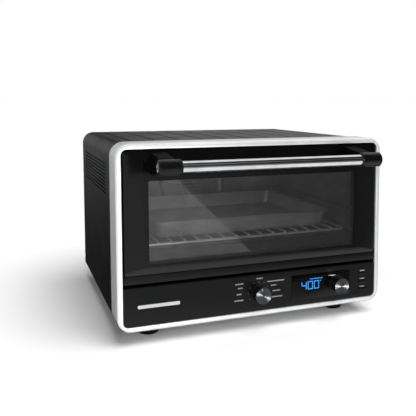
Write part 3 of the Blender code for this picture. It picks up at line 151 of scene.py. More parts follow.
# Modelling, as by hand: a primitive, edit-mode operators, then modifiers that are applied


def only(obj):
    bpy.ops.object.select_all(action="DESELECT")
    obj.select_set(True)
    bpy.context.view_layer.objects.active = obj


def named(name):
    """Names what was just added and puts its place in its mesh."""
    made = bpy.context.object
    made.name = name
    made.data.name = name
    bpy.ops.object.transform_apply(location=True, rotation=True, scale=True)
    return made


def box(name, low, high):
    low, high = Vector(low), Vector(high)
    bpy.ops.object.select_all(action="DESELECT")
    bpy.ops.mesh.primitive_cube_add(size=1, location=(low + high) / 2, scale=high - low)
    return named(name)


def shape(obj, kind, test, operator, **settings):
    """One edit-mode operator on the edges or faces of obj that pass test(middle, direction or normal)."""
    only(obj)
    bpy.ops.object.mode_set(mode="EDIT")
    bpy.ops.mesh.select_mode(type=kind)
    bpy.ops.mesh.select_all(action="DESELECT")
    bpy.ops.object.mode_set(mode="OBJECT")
    mesh = obj.data
    if kind == "FACE":
        for face in mesh.polygons:
            face.select = test(face.center, face.normal)
    else:
        for edge in mesh.edges:
            start, end = (mesh.vertices[i].co for i in edge.vertices)
            edge.select = test((start + end) / 2, (end - start).normalized())
    bpy.ops.object.mode_set(mode="EDIT")
    operator(**settings)
    bpy.ops.object.mode_set(mode="OBJECT")
    return obj


def every(spot, way):
    return True


def along(axis):
    return lambda spot, way: abs(way[axis]) > 0.999


def rounded(obj, test, width, segments):
    bevel = bpy.ops.mesh.bevel
    return shape(obj, "EDGE", test, bevel, offset=width, segments=segments, affect="EDGES")


def plate(name, low, high, corner, axis=1, segments=8):
    """A box whose edges along one axis are rounded."""
    return rounded(box(name, low, high), along(axis), corner, segments)


def applied(obj, kind, **settings):
    only(obj)
    modifier = obj.modifiers.new(kind, kind)
    for name, value in settings.items():
        setattr(modifier, name, value)
    bpy.ops.object.modifier_apply(modifier=modifier.name)
    return obj


def soften(obj, width, segments=2, angle=40):
    limit = math.radians(angle)
    return applied(obj, "BEVEL", width=width, segments=segments, limit_method="ANGLE", angle_limit=limit)


def carve(target, tool, operation="DIFFERENCE"):
    applied(target, "BOOLEAN", object=tool, operation=operation)
    bpy.data.objects.remove(tool, do_unlink=True)
    return target


def joined(name, parts):
    bpy.ops.object.select_all(action="DESELECT")
    for part in parts:
        part.select_set(True)
    bpy.context.view_layer.objects.active = parts[0]
    bpy.ops.object.join()
    parts[0].name = name
    parts[0].data.name = name
    return parts[0]


def copy_of(source, name, matrix):
    """A copy with its own mesh."""
    made = bpy.data.objects.new(name, source.data.copy())
    made.data.name = name
    made.data.transform(matrix)
    bpy.context.scene.collection.objects.link(made)
    return made


def row_of(source, name, moves):
    """Joins copies of a piece, one at each move, and removes the piece."""
    made = joined(name, [copy_of(source, name, Matrix.Translation(move)) for move in moves])
    bpy.data.objects.remove(source, do_unlink=True)
    return made


def spread(count, pitch):
    """Moves along X that set a number of copies evenly about the middle."""
    return [((index - (count - 1) / 2) * pitch, 0, 0) for index in range(count)]


def closed(obj):
    """Merges doubles and turns every face outwards."""
    shape(obj, "FACE", every, bpy.ops.mesh.remove_doubles, threshold=TOUCH / 4)
    return shape(obj, "FACE", every, bpy.ops.mesh.normals_make_consistent, inside=False)


AXIS_TURN = {
    "+X": Matrix.Rotation(math.pi / 2, 4, "Y"),
    "-X": Matrix.Rotation(-math.pi / 2, 4, "Y"),
    "-Y": Matrix.Rotation(math.pi / 2, 4, "X"),
    "+Y": Matrix.Rotation(-math.pi / 2, 4, "X"),
    "+Z": Matrix.Identity(4),
}


def turned(name, at, axis, profile, sides=64):
    """A round solid: a disc at the first (distance, radius), drawn out and resized to each next one."""
    bpy.ops.object.select_all(action="DESELECT")
    start, radius = profile[0]
    bpy.ops.mesh.primitive_circle_add(
        vertices=sides, radius=radius, fill_type="NGON", location=(0, 0, start)
    )
    made = named(name)
    bpy.ops.object.mode_set(mode="EDIT")
    bpy.ops.mesh.select_all(action="SELECT")
    for (here, wide), (there, next_wide) in zip(profile, profile[1:]):
        bpy.ops.mesh.extrude_region_move(TRANSFORM_OT_translate={"value": (0, 0, there - here)})
        share = next_wide / wide
        bpy.ops.transform.resize(value=(share, share, 1), center_override=(0, 0, there))
    bpy.ops.object.mode_set(mode="OBJECT")
    made.data.transform(Matrix.Translation(at) @ AXIS_TURN[axis])
    return closed(made)


def quarter(start, end, steps=5):
    """Points of a quarter round from one (distance, radius) to another, leaving along the distance."""
    points = []
    for step in range(steps + 1):
        turn = math.pi / 2 * step / steps
        here = start[0] + (end[0] - start[0]) * math.sin(turn)
        points.append((here, start[1] + (end[1] - start[1]) * (1 - math.cos(turn))))
    return points


def bent_wire(name, low, high, corner, radius, segments=8):
    """A closed loop of round wire: the outline of a sheet with round corners, given thickness."""
    loop = plate(name, low, (high[0], high[1], low[2] + MM), corner, axis=2, segments=segments)
    shape(loop, "FACE", lambda spot, way: way.z < 0.5, bpy.ops.mesh.delete, type="FACE")
    shape(loop, "FACE", every, bpy.ops.mesh.delete, type="ONLY_FACE")
    loop.data.transform(Matrix.Translation((0, 0, -MM)))
    only(loop)
    bpy.ops.object.convert(target="CURVE")
    loop = bpy.context.object
    loop.data.bevel_depth = radius
    loop.data.bevel_resolution = 4
    bpy.ops.object.convert(target="MESH")
    return closed(bpy.context.object)


def settle(piece, look, slot, body, *nodes, angle=32):
    """Gives a finished piece its material and the body it moves with, and hides the nodes it stands for;
    slot is not used.
    """
    if look is not None:
        piece.data.materials.clear()
        piece.data.materials.append(look)
    only(piece)
    bpy.ops.object.shade_smooth_by_angle(angle=math.radians(angle))
    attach(piece, body)
    if nodes:
        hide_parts(*nodes)
    return piece


def two_finishes(piece, first, second, test):
    """Gives a piece two materials, the second on the faces that pass test(middle, normal)."""
    piece.data.materials.clear()
    for look in (first, second):
        piece.data.materials.append(look)
    for face in piece.data.polygons:
        face.material_index = int(test(face.center, face.normal))


# Materials


def add(tree, kind, inputs=None, stops=(), **settings):
    """Adds a node; an input given as a socket is linked and any other is set."""
    node = tree.nodes.new(kind)
    for name, value in settings.items():
        setattr(node, name, value)
    for name, value in (inputs or {}).items():
        if isinstance(value, bpy.types.NodeSocket):
            tree.links.new(value, node.inputs[name])
        else:
            node.inputs[name].default_value = value
    for index, (place, value) in enumerate(stops):
        elements = node.color_ramp.elements
        element = elements[index] if index < 2 else elements.new(place)
        element.position = place
        element.color = (value, value, value, 1) if isinstance(value, float) else value
    return node


def finish_of(name, base, roughness, metallic=0.0, **sockets):
    """A new material, its node tree, its shader and the Object coordinates that its patterns read."""
    material = bpy.data.materials.new(name)
    material.use_nodes = True
    tree = material.node_tree
    shader = tree.nodes["Principled BSDF"]
    shader.inputs["Base Color"].default_value = (*base[:3], 1)
    shader.inputs["Roughness"].default_value = roughness
    shader.inputs["Metallic"].default_value = metallic
    for socket, value in sockets.items():
        shader.inputs[socket.replace("_", " ")].default_value = value
    return material, tree, shader, add(tree, "ShaderNodeTexCoord").outputs["Object"]


def once(make):
    """Makes a material the first time that it is asked for."""
    made = {}

    def get(*key):
        if key not in made:
            made[key] = make(*key)
        return made[key]

    return get


def shade(base, share):
    return tuple(min(1.0, channel * share) for channel in base[:3]) + (1.0,)


def patterned(tree, shader, socket, source, low, high, start=0.3, end=0.7):
    """Lets a pattern run one of the shader's inputs between two values."""
    ramp = add(tree, "ShaderNodeValToRGB", {"Fac": source}, [(start, low), (end, high)])
    tree.links.new(ramp.outputs["Color"], shader.inputs[socket])
    return ramp


def relief(tree, shader, source, depth, strength):
    bump = add(tree, "ShaderNodeBump", {"Height": source, "Distance": depth, "Strength": strength})
    tree.links.new(bump.outputs["Normal"], shader.inputs["Normal"])


def noise(tree, place, size, detail):
    """A cloudy pattern whose patches are about this size across."""
    made = add(tree, "ShaderNodeTexNoise", {"Vector": place, "Scale": 1 / size, "Detail": detail})
    return made.outputs["Fac"]


@once
def brushed_aluminium():
    """Extruded aluminium, brushed along its length and clear anodised: soft streaks in a satin metal."""
    base = bpy.context.scene.oven_case.bright
    material, tree, shader, spot = finish_of("anodised_aluminium", base, 0.4, 0.6)
    half = BOX["front_bezel"][1].x - 1.4 * bpy.context.scene.oven_case.border
    parts = add(tree, "ShaderNodeSeparateXYZ", {"Vector": spot})
    side = add(tree, "ShaderNodeMath", {0: parts.outputs["X"]}, operation="ABSOLUTE")
    upright = add(tree, "ShaderNodeMath", {0: side.outputs[0], 1: half}, operation="GREATER_THAN")
    streaks = []
    for scale in ((4, 900, 900), (900, 900, 4)):
        run = add(tree, "ShaderNodeMapping", {"Vector": spot, "Scale": scale})
        streaks.append(noise(tree, run.outputs[0], 1, 3.0))
    mixed = add(tree, "ShaderNodeMix", {0: upright.outputs[0], 2: streaks[0], 3: streaks[1]})
    fine = mixed.outputs[0]
    cloud = noise(tree, spot, 40 * MM, 2.0)
    both = add(tree, "ShaderNodeMath", {0: fine, 1: cloud}, operation="MULTIPLY_ADD")
    both.inputs[2].default_value = 0.2
    patterned(tree, shader, "Base Color", both.outputs[0], shade(base, 0.86), shade(base, 1.05))
    patterned(tree, shader, "Roughness", fine, 0.32, 0.5)
    relief(tree, shader, fine, 0.02 * MM, 0.5)
    return material


@once
def chromed_steel():
    """Steel tube, polished and chromium plated: a mirror with a trace of polishing haze."""
    material, tree, shader, spot = finish_of("polished_chrome", linear("#DADCDF"), 0.06, 1.0)
    run = add(tree, "ShaderNodeMapping", {"Vector": spot, "Scale": (30, 700, 700)})
    haze = noise(tree, run.outputs[0], 1, 2.0)
    patterned(tree, shader, "Roughness", haze, 0.04, 0.13)
    smudge = noise(tree, spot, 25 * MM, 3.0)
    patterned(
        tree, shader, "Base Color", smudge, linear("#CFD1D4"), linear("#E4E6E8")
    )
    relief(tree, shader, haze, 0.004 * MM, 0.3)
    return material


@once
def powder_paint():
    """Black powder paint on pressed steel: an even satin with a faint orange peel about 1 mm across."""
    base = bpy.context.scene.oven_case.dark
    material, tree, shader, spot = finish_of("powder_painted_steel", base, 0.4, Specular_IOR_Level=0.42)
    peel = noise(tree, spot, 1.1 * MM, 1.5)
    cloud = noise(tree, spot, 60 * MM, 3.0)
    patterned(tree, shader, "Roughness", cloud, 0.35, 0.46)
    patterned(tree, shader, "Base Color", peel, shade(base, 0.8), shade(base, 1.25))
    relief(tree, shader, peel, 0.05 * MM, 0.35)
    return material


@once
def shaded_bead_paint():
    """The case's paint in the pressed beads, darker than on the top as painted shade: matt and black from
    every side.
    """
    # Painted shade: the beads' paint is 0.6 times as bright as the case's, so the grooves read as shaded
    base = shade(bpy.context.scene.oven_case.dark, 0.6)
    material, tree, shader, spot = finish_of("bead_paint_with_painted_shade", base, 0.8, Specular_IOR_Level=0.06)
    peel = noise(tree, spot, 1.1 * MM, 1.5)
    patterned(tree, shader, "Roughness", peel, 0.7, 0.9)
    patterned(tree, shader, "Base Color", peel, shade(base, 0.8), shade(base, 1.25))
    return material


@once
def dark_steel():
    """Cold-rolled steel with a burnt-on dark coating: brown-black, with uneven gloss."""
    base = linear("#2B2A29")
    material, tree, shader, spot = finish_of("black_oxide_steel", base, 0.45, 0.9)
    cloud = noise(tree, spot, 14 * MM, 5.0)
    patterned(tree, shader, "Base Color", cloud, shade(base, 0.7), shade(base, 1.4))
    patterned(tree, shader, "Roughness", cloud, 0.36, 0.55)
    return material


@once
def galvanised_steel():
    """Hot-dip galvanised sheet: grey zinc with spangles about 8 mm across."""
    base = linear("#8C9093")
    material, tree, shader, spot = finish_of("galvanised_sheet", base, 0.45, 0.95)
    spangle = add(tree, "ShaderNodeTexVoronoi", {"Vector": spot, "Scale": 1 / (8 * MM)})
    tone = add(tree, "ShaderNodeSeparateColor", {"Color": spangle.outputs["Color"]})
    patterned(tree, shader, "Base Color", tone.outputs[0], shade(base, 0.78), shade(base, 1.2), 0.0, 1.0)
    patterned(tree, shader, "Roughness", tone.outputs[1], 0.34, 0.56, 0.0, 1.0)
    grit = noise(tree, spot, 0.9 * MM, 2.0)
    relief(tree, shader, grit, 0.03 * MM, 0.4)
    return material


@once
def aluminised_lining():
    """Aluminised steel sheet with the mill's rolling marks: soft grey, lightly streaked front to back."""
    base = bpy.context.scene.oven_inside.lining
    material, tree, shader, spot = finish_of("aluminised_steel", base, 0.42, 0.75)
    run = add(tree, "ShaderNodeMapping", {"Vector": spot, "Scale": (500, 12, 500)})
    mill = noise(tree, run.outputs[0], 1, 3.0)
    stain = noise(tree, spot, 45 * MM, 5.0)
    patterned(tree, shader, "Base Color", stain, shade(base, 0.8), shade(base, 1.12))
    patterned(tree, shader, "Roughness", mill, 0.34, 0.5)
    relief(tree, shader, mill, 0.03 * MM, 0.4)
    return material


@once
def pan_steel():
    """Drawn carbon steel with a grey release coating: satin, with a fine sprayed speckle of 1.5 mm."""
    base = bpy.context.scene.oven_inside.pan
    material, tree, shader, spot = finish_of("coated_pan_steel", base, 0.38, 0.7)
    speck = add(tree, "ShaderNodeTexVoronoi", {"Vector": spot, "Scale": 1 / (1.5 * MM)})
    patterned(tree, shader, "Base Color", speck.outputs["Distance"], shade(base, 1.1), shade(base, 0.85))
    cloud = noise(tree, spot, 30 * MM, 4.0)
    patterned(tree, shader, "Roughness", cloud, 0.32, 0.46)
    relief(tree, shader, speck.outputs["Distance"], 0.03 * MM, 0.3)
    return material


@once
def nickel_wire():
    """Drawn steel wire, nickel plated: bright, and slightly dulled in patches of about 9 mm."""
    base = linear("#E2E2E0")
    material, tree, shader, spot = finish_of("nickel_plated_wire", base, 0.4, 0.8)
    dull = noise(tree, spot, 9 * MM, 4.0)
    patterned(tree, shader, "Roughness", dull, 0.32, 0.48)
    patterned(tree, shader, "Base Color", dull, shade(base, 0.88), shade(base, 1.04))
    return material


@once
def heater_sheath():
    """Nickel-alloy heater sheath: dull grey with straw and blue heat tints in bands about 30 mm wide."""
    material, tree, shader, spot = finish_of("alloy_sheath", linear("#5B5852"), 0.5, 0.9)
    tint = noise(tree, spot, 30 * MM, 3.0)
    ramp = patterned(
        tree, shader, "Base Color", tint, linear("#6B6154"), linear("#4B4F57"), 0.35, 0.65
    )
    ramp.color_ramp.elements.new(0.5).color = linear("#5A5450")
    patterned(tree, shader, "Roughness", tint, 0.4, 0.6)
    return material


@once
def steatite():
    """Pressed steatite ceramic: chalky off-white with a fine dry grain."""
    base = linear("#D9D3C4")
    material, tree, shader, spot = finish_of("steatite_ceramic", base, 0.72)
    grain = noise(tree, spot, 1.2 * MM, 4.0)
    patterned(tree, shader, "Base Color", grain, shade(base, 0.85), shade(base, 1.05))
    patterned(tree, shader, "Roughness", grain, 0.62, 0.82)
    relief(tree, shader, grain, 0.08 * MM, 0.5)
    return material


@once
def moulded_abs():
    """Black ABS moulded in a spark-eroded tool: satin, with a fine grain of about 0.6 mm."""
    base = bpy.context.scene.oven_controls.plastic
    material, tree, shader, spot = finish_of("moulded_abs", base, 0.38, Specular_IOR_Level=0.32)
    grain = noise(tree, spot, 0.6 * MM, 2.0)
    cloud = noise(tree, spot, 40 * MM, 2.0)
    patterned(tree, shader, "Base Color", grain, shade(base, 0.8), shade(base, 1.2))
    patterned(tree, shader, "Roughness", cloud, 0.33, 0.42)
    relief(tree, shader, grain, 0.03 * MM, 0.3)
    return material


@once
def glossy_phenolic():
    """Black phenolic of the handle's caps and the knobs: smooth and glossy, with slight flow marks."""
    base = linear("#0B0B0C")
    material, tree, shader, spot = finish_of("phenolic_resin", base, 0.24, Specular_IOR_Level=0.28)
    flow = noise(tree, spot, 18 * MM, 3.0)
    patterned(tree, shader, "Roughness", flow, 0.2, 0.32)
    patterned(tree, shader, "Base Color", flow, shade(base, 0.85), shade(base, 1.2))
    return material


@once
def shaded_arm_phenolic():
    """Black phenolic of the handle's arms, finely grained: a darker copy of the caps' phenolic with its
    reflection all but cut away, as painted shade, so it stays black even when seen aslant.
    """
    # Painted shade: darker than the caps' #0B0B0C and almost without reflection
    base = linear("#060607")
    material, tree, shader, spot = finish_of("shaded_arm_phenolic", base, 0.6, Specular_IOR_Level=0.03)
    grain = noise(tree, spot, 0.8 * MM, 2.0)
    patterned(tree, shader, "Base Color", grain, shade(base, 0.7), shade(base, 1.3))
    patterned(tree, shader, "Roughness", grain, 0.55, 0.7)
    relief(tree, shader, grain, 0.03 * MM, 0.3)
    return material


@once
def nitrile_rubber():
    """Moulded nitrile rubber: dead black and dry, with a coarse bloom."""
    base = linear("#060606")
    material, tree, shader, spot = finish_of("nitrile_rubber", base, 0.85, Specular_IOR_Level=0.12)
    bloom = noise(tree, spot, 5 * MM, 6.0)
    patterned(tree, shader, "Base Color", bloom, shade(base, 0.8), shade(base, 1.9))
    patterned(tree, shader, "Roughness", bloom, 0.75, 0.95)
    relief(tree, shader, bloom, 0.06 * MM, 0.4)
    return material


@once
def gloss_acrylic():
    """Cast black acrylic of the display's lens: a deep, even gloss with wipe marks only just there."""
    base = linear("#030304")
    material, tree, shader, spot = finish_of("cast_acrylic", base, 0.05, Specular_IOR_Level=0.3)
    wipe = noise(tree, spot, 12 * MM, 4.0)
    patterned(tree, shader, "Roughness", wipe, 0.03, 0.09)
    patterned(tree, shader, "Base Color", wipe, shade(base, 0.8), shade(base, 1.2))
    return material


@once
def printed_glass():
    """Tempered glass with black ceramic enamel fired on its back: near black, glossy, with roller ripple."""
    base = bpy.context.scene.oven_door.print
    material, tree, shader, spot = finish_of("enamelled_glass", base, 0.09, Specular_IOR_Level=0.45)
    smear = noise(tree, spot, 35 * MM, 4.0)
    patterned(tree, shader, "Roughness", smear, 0.06, 0.12)
    patterned(tree, shader, "Base Color", smear, shade(base, 0.85), shade(base, 1.2))
    run = add(tree, "ShaderNodeMapping", {"Vector": spot, "Scale": (1, 1, 26)})
    ripple = noise(tree, run.outputs[0], 0.5, 1.0)
    relief(tree, shader, ripple, 0.02 * MM, 0.2)
    return material


@once
def clear_glass(name, share):
    """Tempered soda-lime glass, nearly clear: it mirrors a little more when seen aslant."""
    tint = bpy.context.scene.oven_door.tint
    material, tree, shader, spot = finish_of(name, tint, 0.02)
    tree.nodes.remove(shader)
    film = noise(tree, spot, 25 * MM, 4.0)
    stops = [(0.3, shade(tint, share * 0.95)), (0.7, shade(tint, share))]
    haze = add(tree, "ShaderNodeValToRGB", {"Fac": film}, stops)
    through = add(tree, "ShaderNodeBsdfTransparent", {"Color": haze.outputs["Color"]})
    mirror = add(tree, "ShaderNodeBsdfGlossy", {"Color": (1, 1, 1, 1), "Roughness": 0.0})
    edge = add(tree, "ShaderNodeFresnel", {"IOR": 1.5})
    mixed = add(
        tree, "ShaderNodeMixShader", {0: edge.outputs[0], 1: through.outputs[0], 2: mirror.outputs[0]}
    )
    tree.links.new(mixed.outputs[0], tree.nodes["Material Output"].inputs["Surface"])
    return material


@once
def spun_face(x, z):
    """Aluminium disc, dyed black and spun on a lathe: fine rings that fan the light into two wedges."""
    base = linear("#5E5F61")
    name = f"spun_aluminium_{round(x / MM)}"
    material, tree, shader, spot = finish_of(name, base, 0.24, 1.0, Anisotropic=0.9)
    centred = add(tree, "ShaderNodeMapping", {"Vector": spot, "Location": (-x, 0, -z)})
    flat = add(tree, "ShaderNodeVectorMath", {0: centred.outputs[0], 1: (1, 0, 1)}, operation="MULTIPLY")
    away = add(tree, "ShaderNodeVectorMath", {0: flat.outputs[0]}, operation="LENGTH")
    lathe = {"W": away.outputs["Value"], "Scale": 1 / (0.5 * MM), "Detail": 2.0}
    ring = add(tree, "ShaderNodeTexNoise", lathe, noise_dimensions="1D")
    patterned(tree, shader, "Base Color", ring.outputs["Fac"], shade(base, 0.7), shade(base, 1.2))
    patterned(tree, shader, "Roughness", ring.outputs["Fac"], 0.2, 0.3)
    tangent = add(tree, "ShaderNodeTangent", direction_type="RADIAL", axis="Y")
    tree.links.new(tangent.outputs[0], shader.inputs["Tangent"])
    return material


@once
def printed_ink():
    """Pad-printed grey ink: flat, slightly thin in places."""
    base = bpy.context.scene.oven_controls.ink
    material, tree, shader, spot = finish_of("printed_ink", base, 0.6)
    thin = noise(tree, spot, 0.7 * MM, 2.0)
    patterned(tree, shader, "Base Color", thin, shade(base, 0.65), shade(base, 1.1))
    return material


@once
def lit_segment():
    """Light-emitting display behind the lens: saturated blue, slightly uneven along a segment."""
    base = bpy.context.scene.oven_controls.lit
    material, tree, shader, spot = finish_of("lit_segments", shade(base, 0.2), 0.3)
    glow = noise(tree, spot, 3 * MM, 1.0)
    patterned(tree, shader, "Emission Color", glow, shade(base, 0.85), shade(base, 1.1))
    shader.inputs["Emission Strength"].default_value = 1.0
    return material


@once
def circuit_laminate():
    """Glass-epoxy laminate under green solder mask: copper runs show as paler lines about 2 mm apart."""
    base = linear("#0B3B1E")
    material, tree, shader, spot = finish_of("circuit_laminate", base, 0.4)
    run = add(tree, "ShaderNodeMapping", {"Vector": spot, "Rotation": (math.pi / 2, 0, 0)})
    tracks = add(tree, "ShaderNodeTexBrick", {"Vector": run.outputs[0], "Scale": 1 / (8 * MM)})
    tracks.inputs["Color1"].default_value = linear("#0A3219")
    tracks.inputs["Color2"].default_value = linear("#0F4A27")
    tracks.inputs["Mortar"].default_value = linear("#2F7A4B")
    tracks.inputs["Mortar Size"].default_value = 0.03
    tree.links.new(tracks.outputs["Color"], shader.inputs["Base Color"])
    relief(tree, shader, tracks.outputs["Fac"], 0.05 * MM, 0.4)
    return material


CARRIED = {
    "brushed_aluminium": brushed_aluminium,
    "chrome": nickel_wire,
    "black_steel": powder_paint,
    "galvanised_steel": galvanised_steel,
    "dark_steel": dark_steel,
    "enamel": aluminised_lining,
    "pan_steel": pan_steel,
    "heater_sheath": heater_sheath,
    "ceramic": steatite,
    "black_plastic": moulded_abs,
    "rubber": nitrile_rubber,
    "lens": gloss_acrylic,
    "button_grey": moulded_abs,
    "circuit": circuit_laminate,
    "door_glass": lambda: clear_glass("inner_pane", 0.97),
}


# Operators


# Each hand's sign along X and the direction that points outwards there
HANDS = {"left": (-1, "-X"), "right": (1, "+X")}
# Each button's node and the body that it moves with
BUTTONS = {"lower_button": "button_low", "middle_button": "button_mid", "upper_button": "button_high"}
# How far a cutter runs past what it cuts
PAST = 2 * MM
# Share of a slot's half width that its corners take, which leaves its ends just short of round
SLOT_ROUNDING = 0.98
# Radius of the hole that a knob's shaft passes through
SHAFT_HOLE = 3.6 * MM
# How far printed marks and lit bars stand out of what carries them
PRINT_PROUD = 0.08 * MM
LIT_PROUD = 0.12 * MM


class PieceOperator:
    bl_options = {"REGISTER", "UNDO"}


class OVEN_OT_bezel(PieceOperator, bpy.types.Operator):
    """Brushed bezel with a rolled outer edge and a pocket behind for the case"""

    bl_idname = "oven.bezel"
    bl_label = "Bezel"

    BAND = 1.2 * MM  # thickness of the band that reaches back over the case
    RING = 4 * MM  # thickness of the ring in front of its pocket
    OUTER_EDGE = 0.35 * MM
    OPENING_EDGE = 0.7 * MM

    def execute(self, context):
        case = context.scene.oven_case
        low, high = BOX["front_bezel"]
        bezel = plate("bezel", low, high, case.corner, segments=16)
        rounded(bezel, lambda spot, way: spot.y < low.y + TOUCH, case.roll, 1)
        soften(bezel, self.OUTER_EDGE, 2)
        pocket_low = low + Vector((self.BAND, self.RING, self.BAND))
        pocket_high = high + Vector((-self.BAND, PAST, -self.BAND))
        carve(bezel, plate("pocket", pocket_low, pocket_high, case.corner - self.BAND, segments=16))
        rim = Vector((case.border, 0, case.border))
        past = Vector((0, PAST, 0))
        opening_low, opening_high = low + rim, high - rim
        carve(bezel, plate("opening", opening_low - past, opening_high + past, case.opening_corner))

        def inner_front(spot, way):
            across = abs(spot.x) < opening_high.x + TOUCH
            upright = opening_low.z - TOUCH < spot.z < opening_high.z + TOUCH
            return across and upright and spot.y < low.y + TOUCH

        rounded(bezel, inner_front, self.OPENING_EDGE, 2)
        settle(bezel, brushed_aluminium(), "brushed_aluminium", "oven", "front_bezel")
        return {"FINISHED"}


class OVEN_OT_case(PieceOperator, bpy.types.Operator):
    """Folded steel case with side louvres and beads pressed in its top"""

    bl_idname = "oven.case"
    bl_label = "Case"

    SHEET = 1.0 * MM
    BEZEL_STEP = 1.5 * MM  # how far the case's outline lies inside the bezel's
    UNDERSIDE_LIP = 14 * MM  # width of the flat that is folded in under each side
    PRESSED_FROM = 99 * MM  # where louvres and beads start, behind the bezel's front
    PRESSED_TO = 40 * MM  # where they end, before the case's back
    LOUVRES_BELOW = 34.6 * MM  # the top louvre's depth below the case's top

    def execute(self, context):
        case = context.scene.oven_case
        low, high = BOX["outer_shell"]
        sheet = self.SHEET
        upper, lower = case.corner - self.BEZEL_STEP, case.foot_corner
        shell = self.tube("case_shell", low, high, upper, lower)
        wall = Vector((sheet, 3 * sheet, sheet))
        carve(shell, self.tube("hollow", low + wall, high - wall, upper - sheet, lower - sheet))
        # The ends open to the wider corners of the panels that close them, so no gap shows there
        through = Vector((sheet, -sheet, sheet))
        carve(shell, plate("ends", low + through, high - through, upper - sheet, segments=16))
        lip = high.x - upper - self.UNDERSIDE_LIP
        opening_low = (-lip, low.y - sheet, low.z - sheet)
        carve(shell, box("underside", opening_low, (lip, high.y + sheet, low.z + 2 * sheet)))
        start = BOX["front_bezel"][0].y + self.PRESSED_FROM
        end = high.y - self.PRESSED_TO
        self.press_louvres(shell, case, start, end)
        self.press_beads(shell, case, start, end)
        settle(shell, None, "black_steel", "oven", "outer_shell")
        return {"FINISHED"}

    @staticmethod
    def tube(name, low, high, upper, lower):
        """A long box with wide upper corners and tight lower ones."""
        made = box(name, low, high)
        half = (low.z + high.z) / 2
        for radius, sign in ((upper, 1), (lower, -1)):
            rounded(made, lambda spot, way: abs(way.y) > 0.999 and (spot.z - half) * sign > 0, radius, 12)
        return made

    def press_louvres(self, shell, case, start, end):
        low, high = BOX["outer_shell"]
        top = high.z - self.LOUVRES_BELOW
        tall = case.louvre / 2
        slot_low = (low.x - self.SHEET, start, top - tall)
        slot_high = (high.x + self.SHEET, end, top + tall)
        slot = plate("louvre", slot_low, slot_high, tall * SLOT_ROUNDING, axis=0, segments=4)
        drops = [(0, 0, -row * case.louvre_pitch) for row in range(case.louvre_count)]
        carve(shell, row_of(slot, "louvres", drops))

    def press_beads(self, shell, case, start, end):
        """Sinks the beads half through the sheet, and gives them a darker, duller paint as painted shade."""
        high = BOX["outer_shell"][1]
        half = case.groove / 2
        bead_low = (-half, start, high.z - self.SHEET / 2)
        bead_high = (half, end, high.z + self.SHEET)
        bead = plate("bead", bead_low, bead_high, half * SLOT_ROUNDING, axis=2, segments=4)
        moves = spread(case.groove_count, case.groove_pitch)
        carve(shell, row_of(bead, "beads", moves))
        edge = moves[-1][0] + case.groove

        def shaded_bead_faces(spot, way):
            sunk = high.z - self.SHEET < spot.z < high.z - TOUCH
            return sunk and abs(spot.x) < edge and way.z > -0.5

        # Painted shade: the sunk faces of the beads take the darker paint
        two_finishes(shell, powder_paint(), shaded_bead_paint(), shaded_bead_faces)


class OVEN_OT_feet(PieceOperator, bpy.types.Operator):
    """Four rubber feet with a stepped foot ring"""

    bl_idname = "oven.feet"
    bl_label = "Feet"

    # (height, distance in from the rim) of the hollow sole and the ring round it
    SOLE = ((0.8 * MM, 6 * MM), (0, 5 * MM), (0, 3.6 * MM), (1.2 * MM, 2.4 * MM))
    STEP = 0.55  # the step's height, as a share of the shoulder's
    STUD_TALL, STUD_RADIUS = 2.8 * MM, 4 * MM

    def execute(self, context):
        for name in [node for node in BOX if node.startswith("foot_")]:
            low, high = BOX[name]
            centre = middle(name)
            wide = (high.x - low.x) / 2
            tall = high.z - low.z
            shoulder = tall - self.STUD_TALL
            step = shoulder * self.STEP
            profile = [(height, wide - inward) for height, inward in self.SOLE]
            profile += [(step, wide - 1.6 * MM), (step, wide - 0.8 * MM)]
            profile += [(shoulder - 1.5 * MM, wide), (shoulder, wide - 1.2 * MM)]
            profile += [(shoulder, self.STUD_RADIUS), (tall, self.STUD_RADIUS)]
            foot = turned(f"rubber_{name}", (centre.x, centre.y, low.z), "+Z", profile)
            settle(foot, nitrile_rubber(), "rubber", "oven", name)
        return {"FINISHED"}


class OVEN_OT_rear(PieceOperator, bpy.types.Operator):
    """Moulded stand-offs and the screws that hold the rear panel"""

    bl_idname = "oven.rear"
    bl_label = "Rear fittings"

    RECESS_RIM, RECESS_DEPTH = 2.4 * MM, 1.2 * MM  # of the stand-off's hollow back
    INSET = 9 * MM  # the screws' distance in from the panel's edges
    SIDE_HEIGHTS = (75 * MM, 245 * MM)
    TOP_SHARE = 0.6  # the outer top screws' distance from the middle, as a share of the half width
    HEAD = ((0, 3.6 * MM), (0.7 * MM, 3.5 * MM), (1.5 * MM, 2.7 * MM), (1.9 * MM, 1.4 * MM))
    SLOT = (1.7 * MM, 0.35 * MM, 0.9 * MM)  # half length, half width and depth of the cross slot's arms

    def execute(self, context):
        for hand in HANDS:
            block = box(f"stand_off_{hand}", *BOX[f"rear_spacer_{hand}"])
            recess = {"thickness": self.RECESS_RIM, "depth": -self.RECESS_DEPTH}
            shape(block, "FACE", lambda spot, way: way.y > 0.9, bpy.ops.mesh.inset, **recess)
            soften(block, 0.9 * MM, 3)
            settle(block, moulded_abs(), "black_plastic", "oven", f"rear_spacer_{hand}")
        for index, (x, z) in enumerate(self.screw_places()):
            back = BOX["rear_panel"][1].y
            screw = turned(f"rear_screw_{index + 1}", (x, back, z), "+Y", self.HEAD, 32)
            self.cut_cross(screw, x, back + self.HEAD[-1][0], z)
            settle(screw, chromed_steel(), "chrome", "oven")
        return {"FINISHED"}

    def screw_places(self):
        low, high = BOX["rear_panel"]
        places = [(x, z) for x in (low.x + self.INSET, high.x - self.INSET) for z in self.SIDE_HEIGHTS]
        top = high.z - self.INSET
        return places + [(x, top) for x in (low.x * self.TOP_SHARE, 0, high.x * self.TOP_SHARE)]

    def cut_cross(self, screw, x, front, z):
        arm, half, deep = self.SLOT
        for wide, tall in ((arm, half), (half, arm)):
            slot = box("slot", (x - wide, front - deep, z - tall), (x + wide, front + deep, z + tall))
            carve(screw, slot)


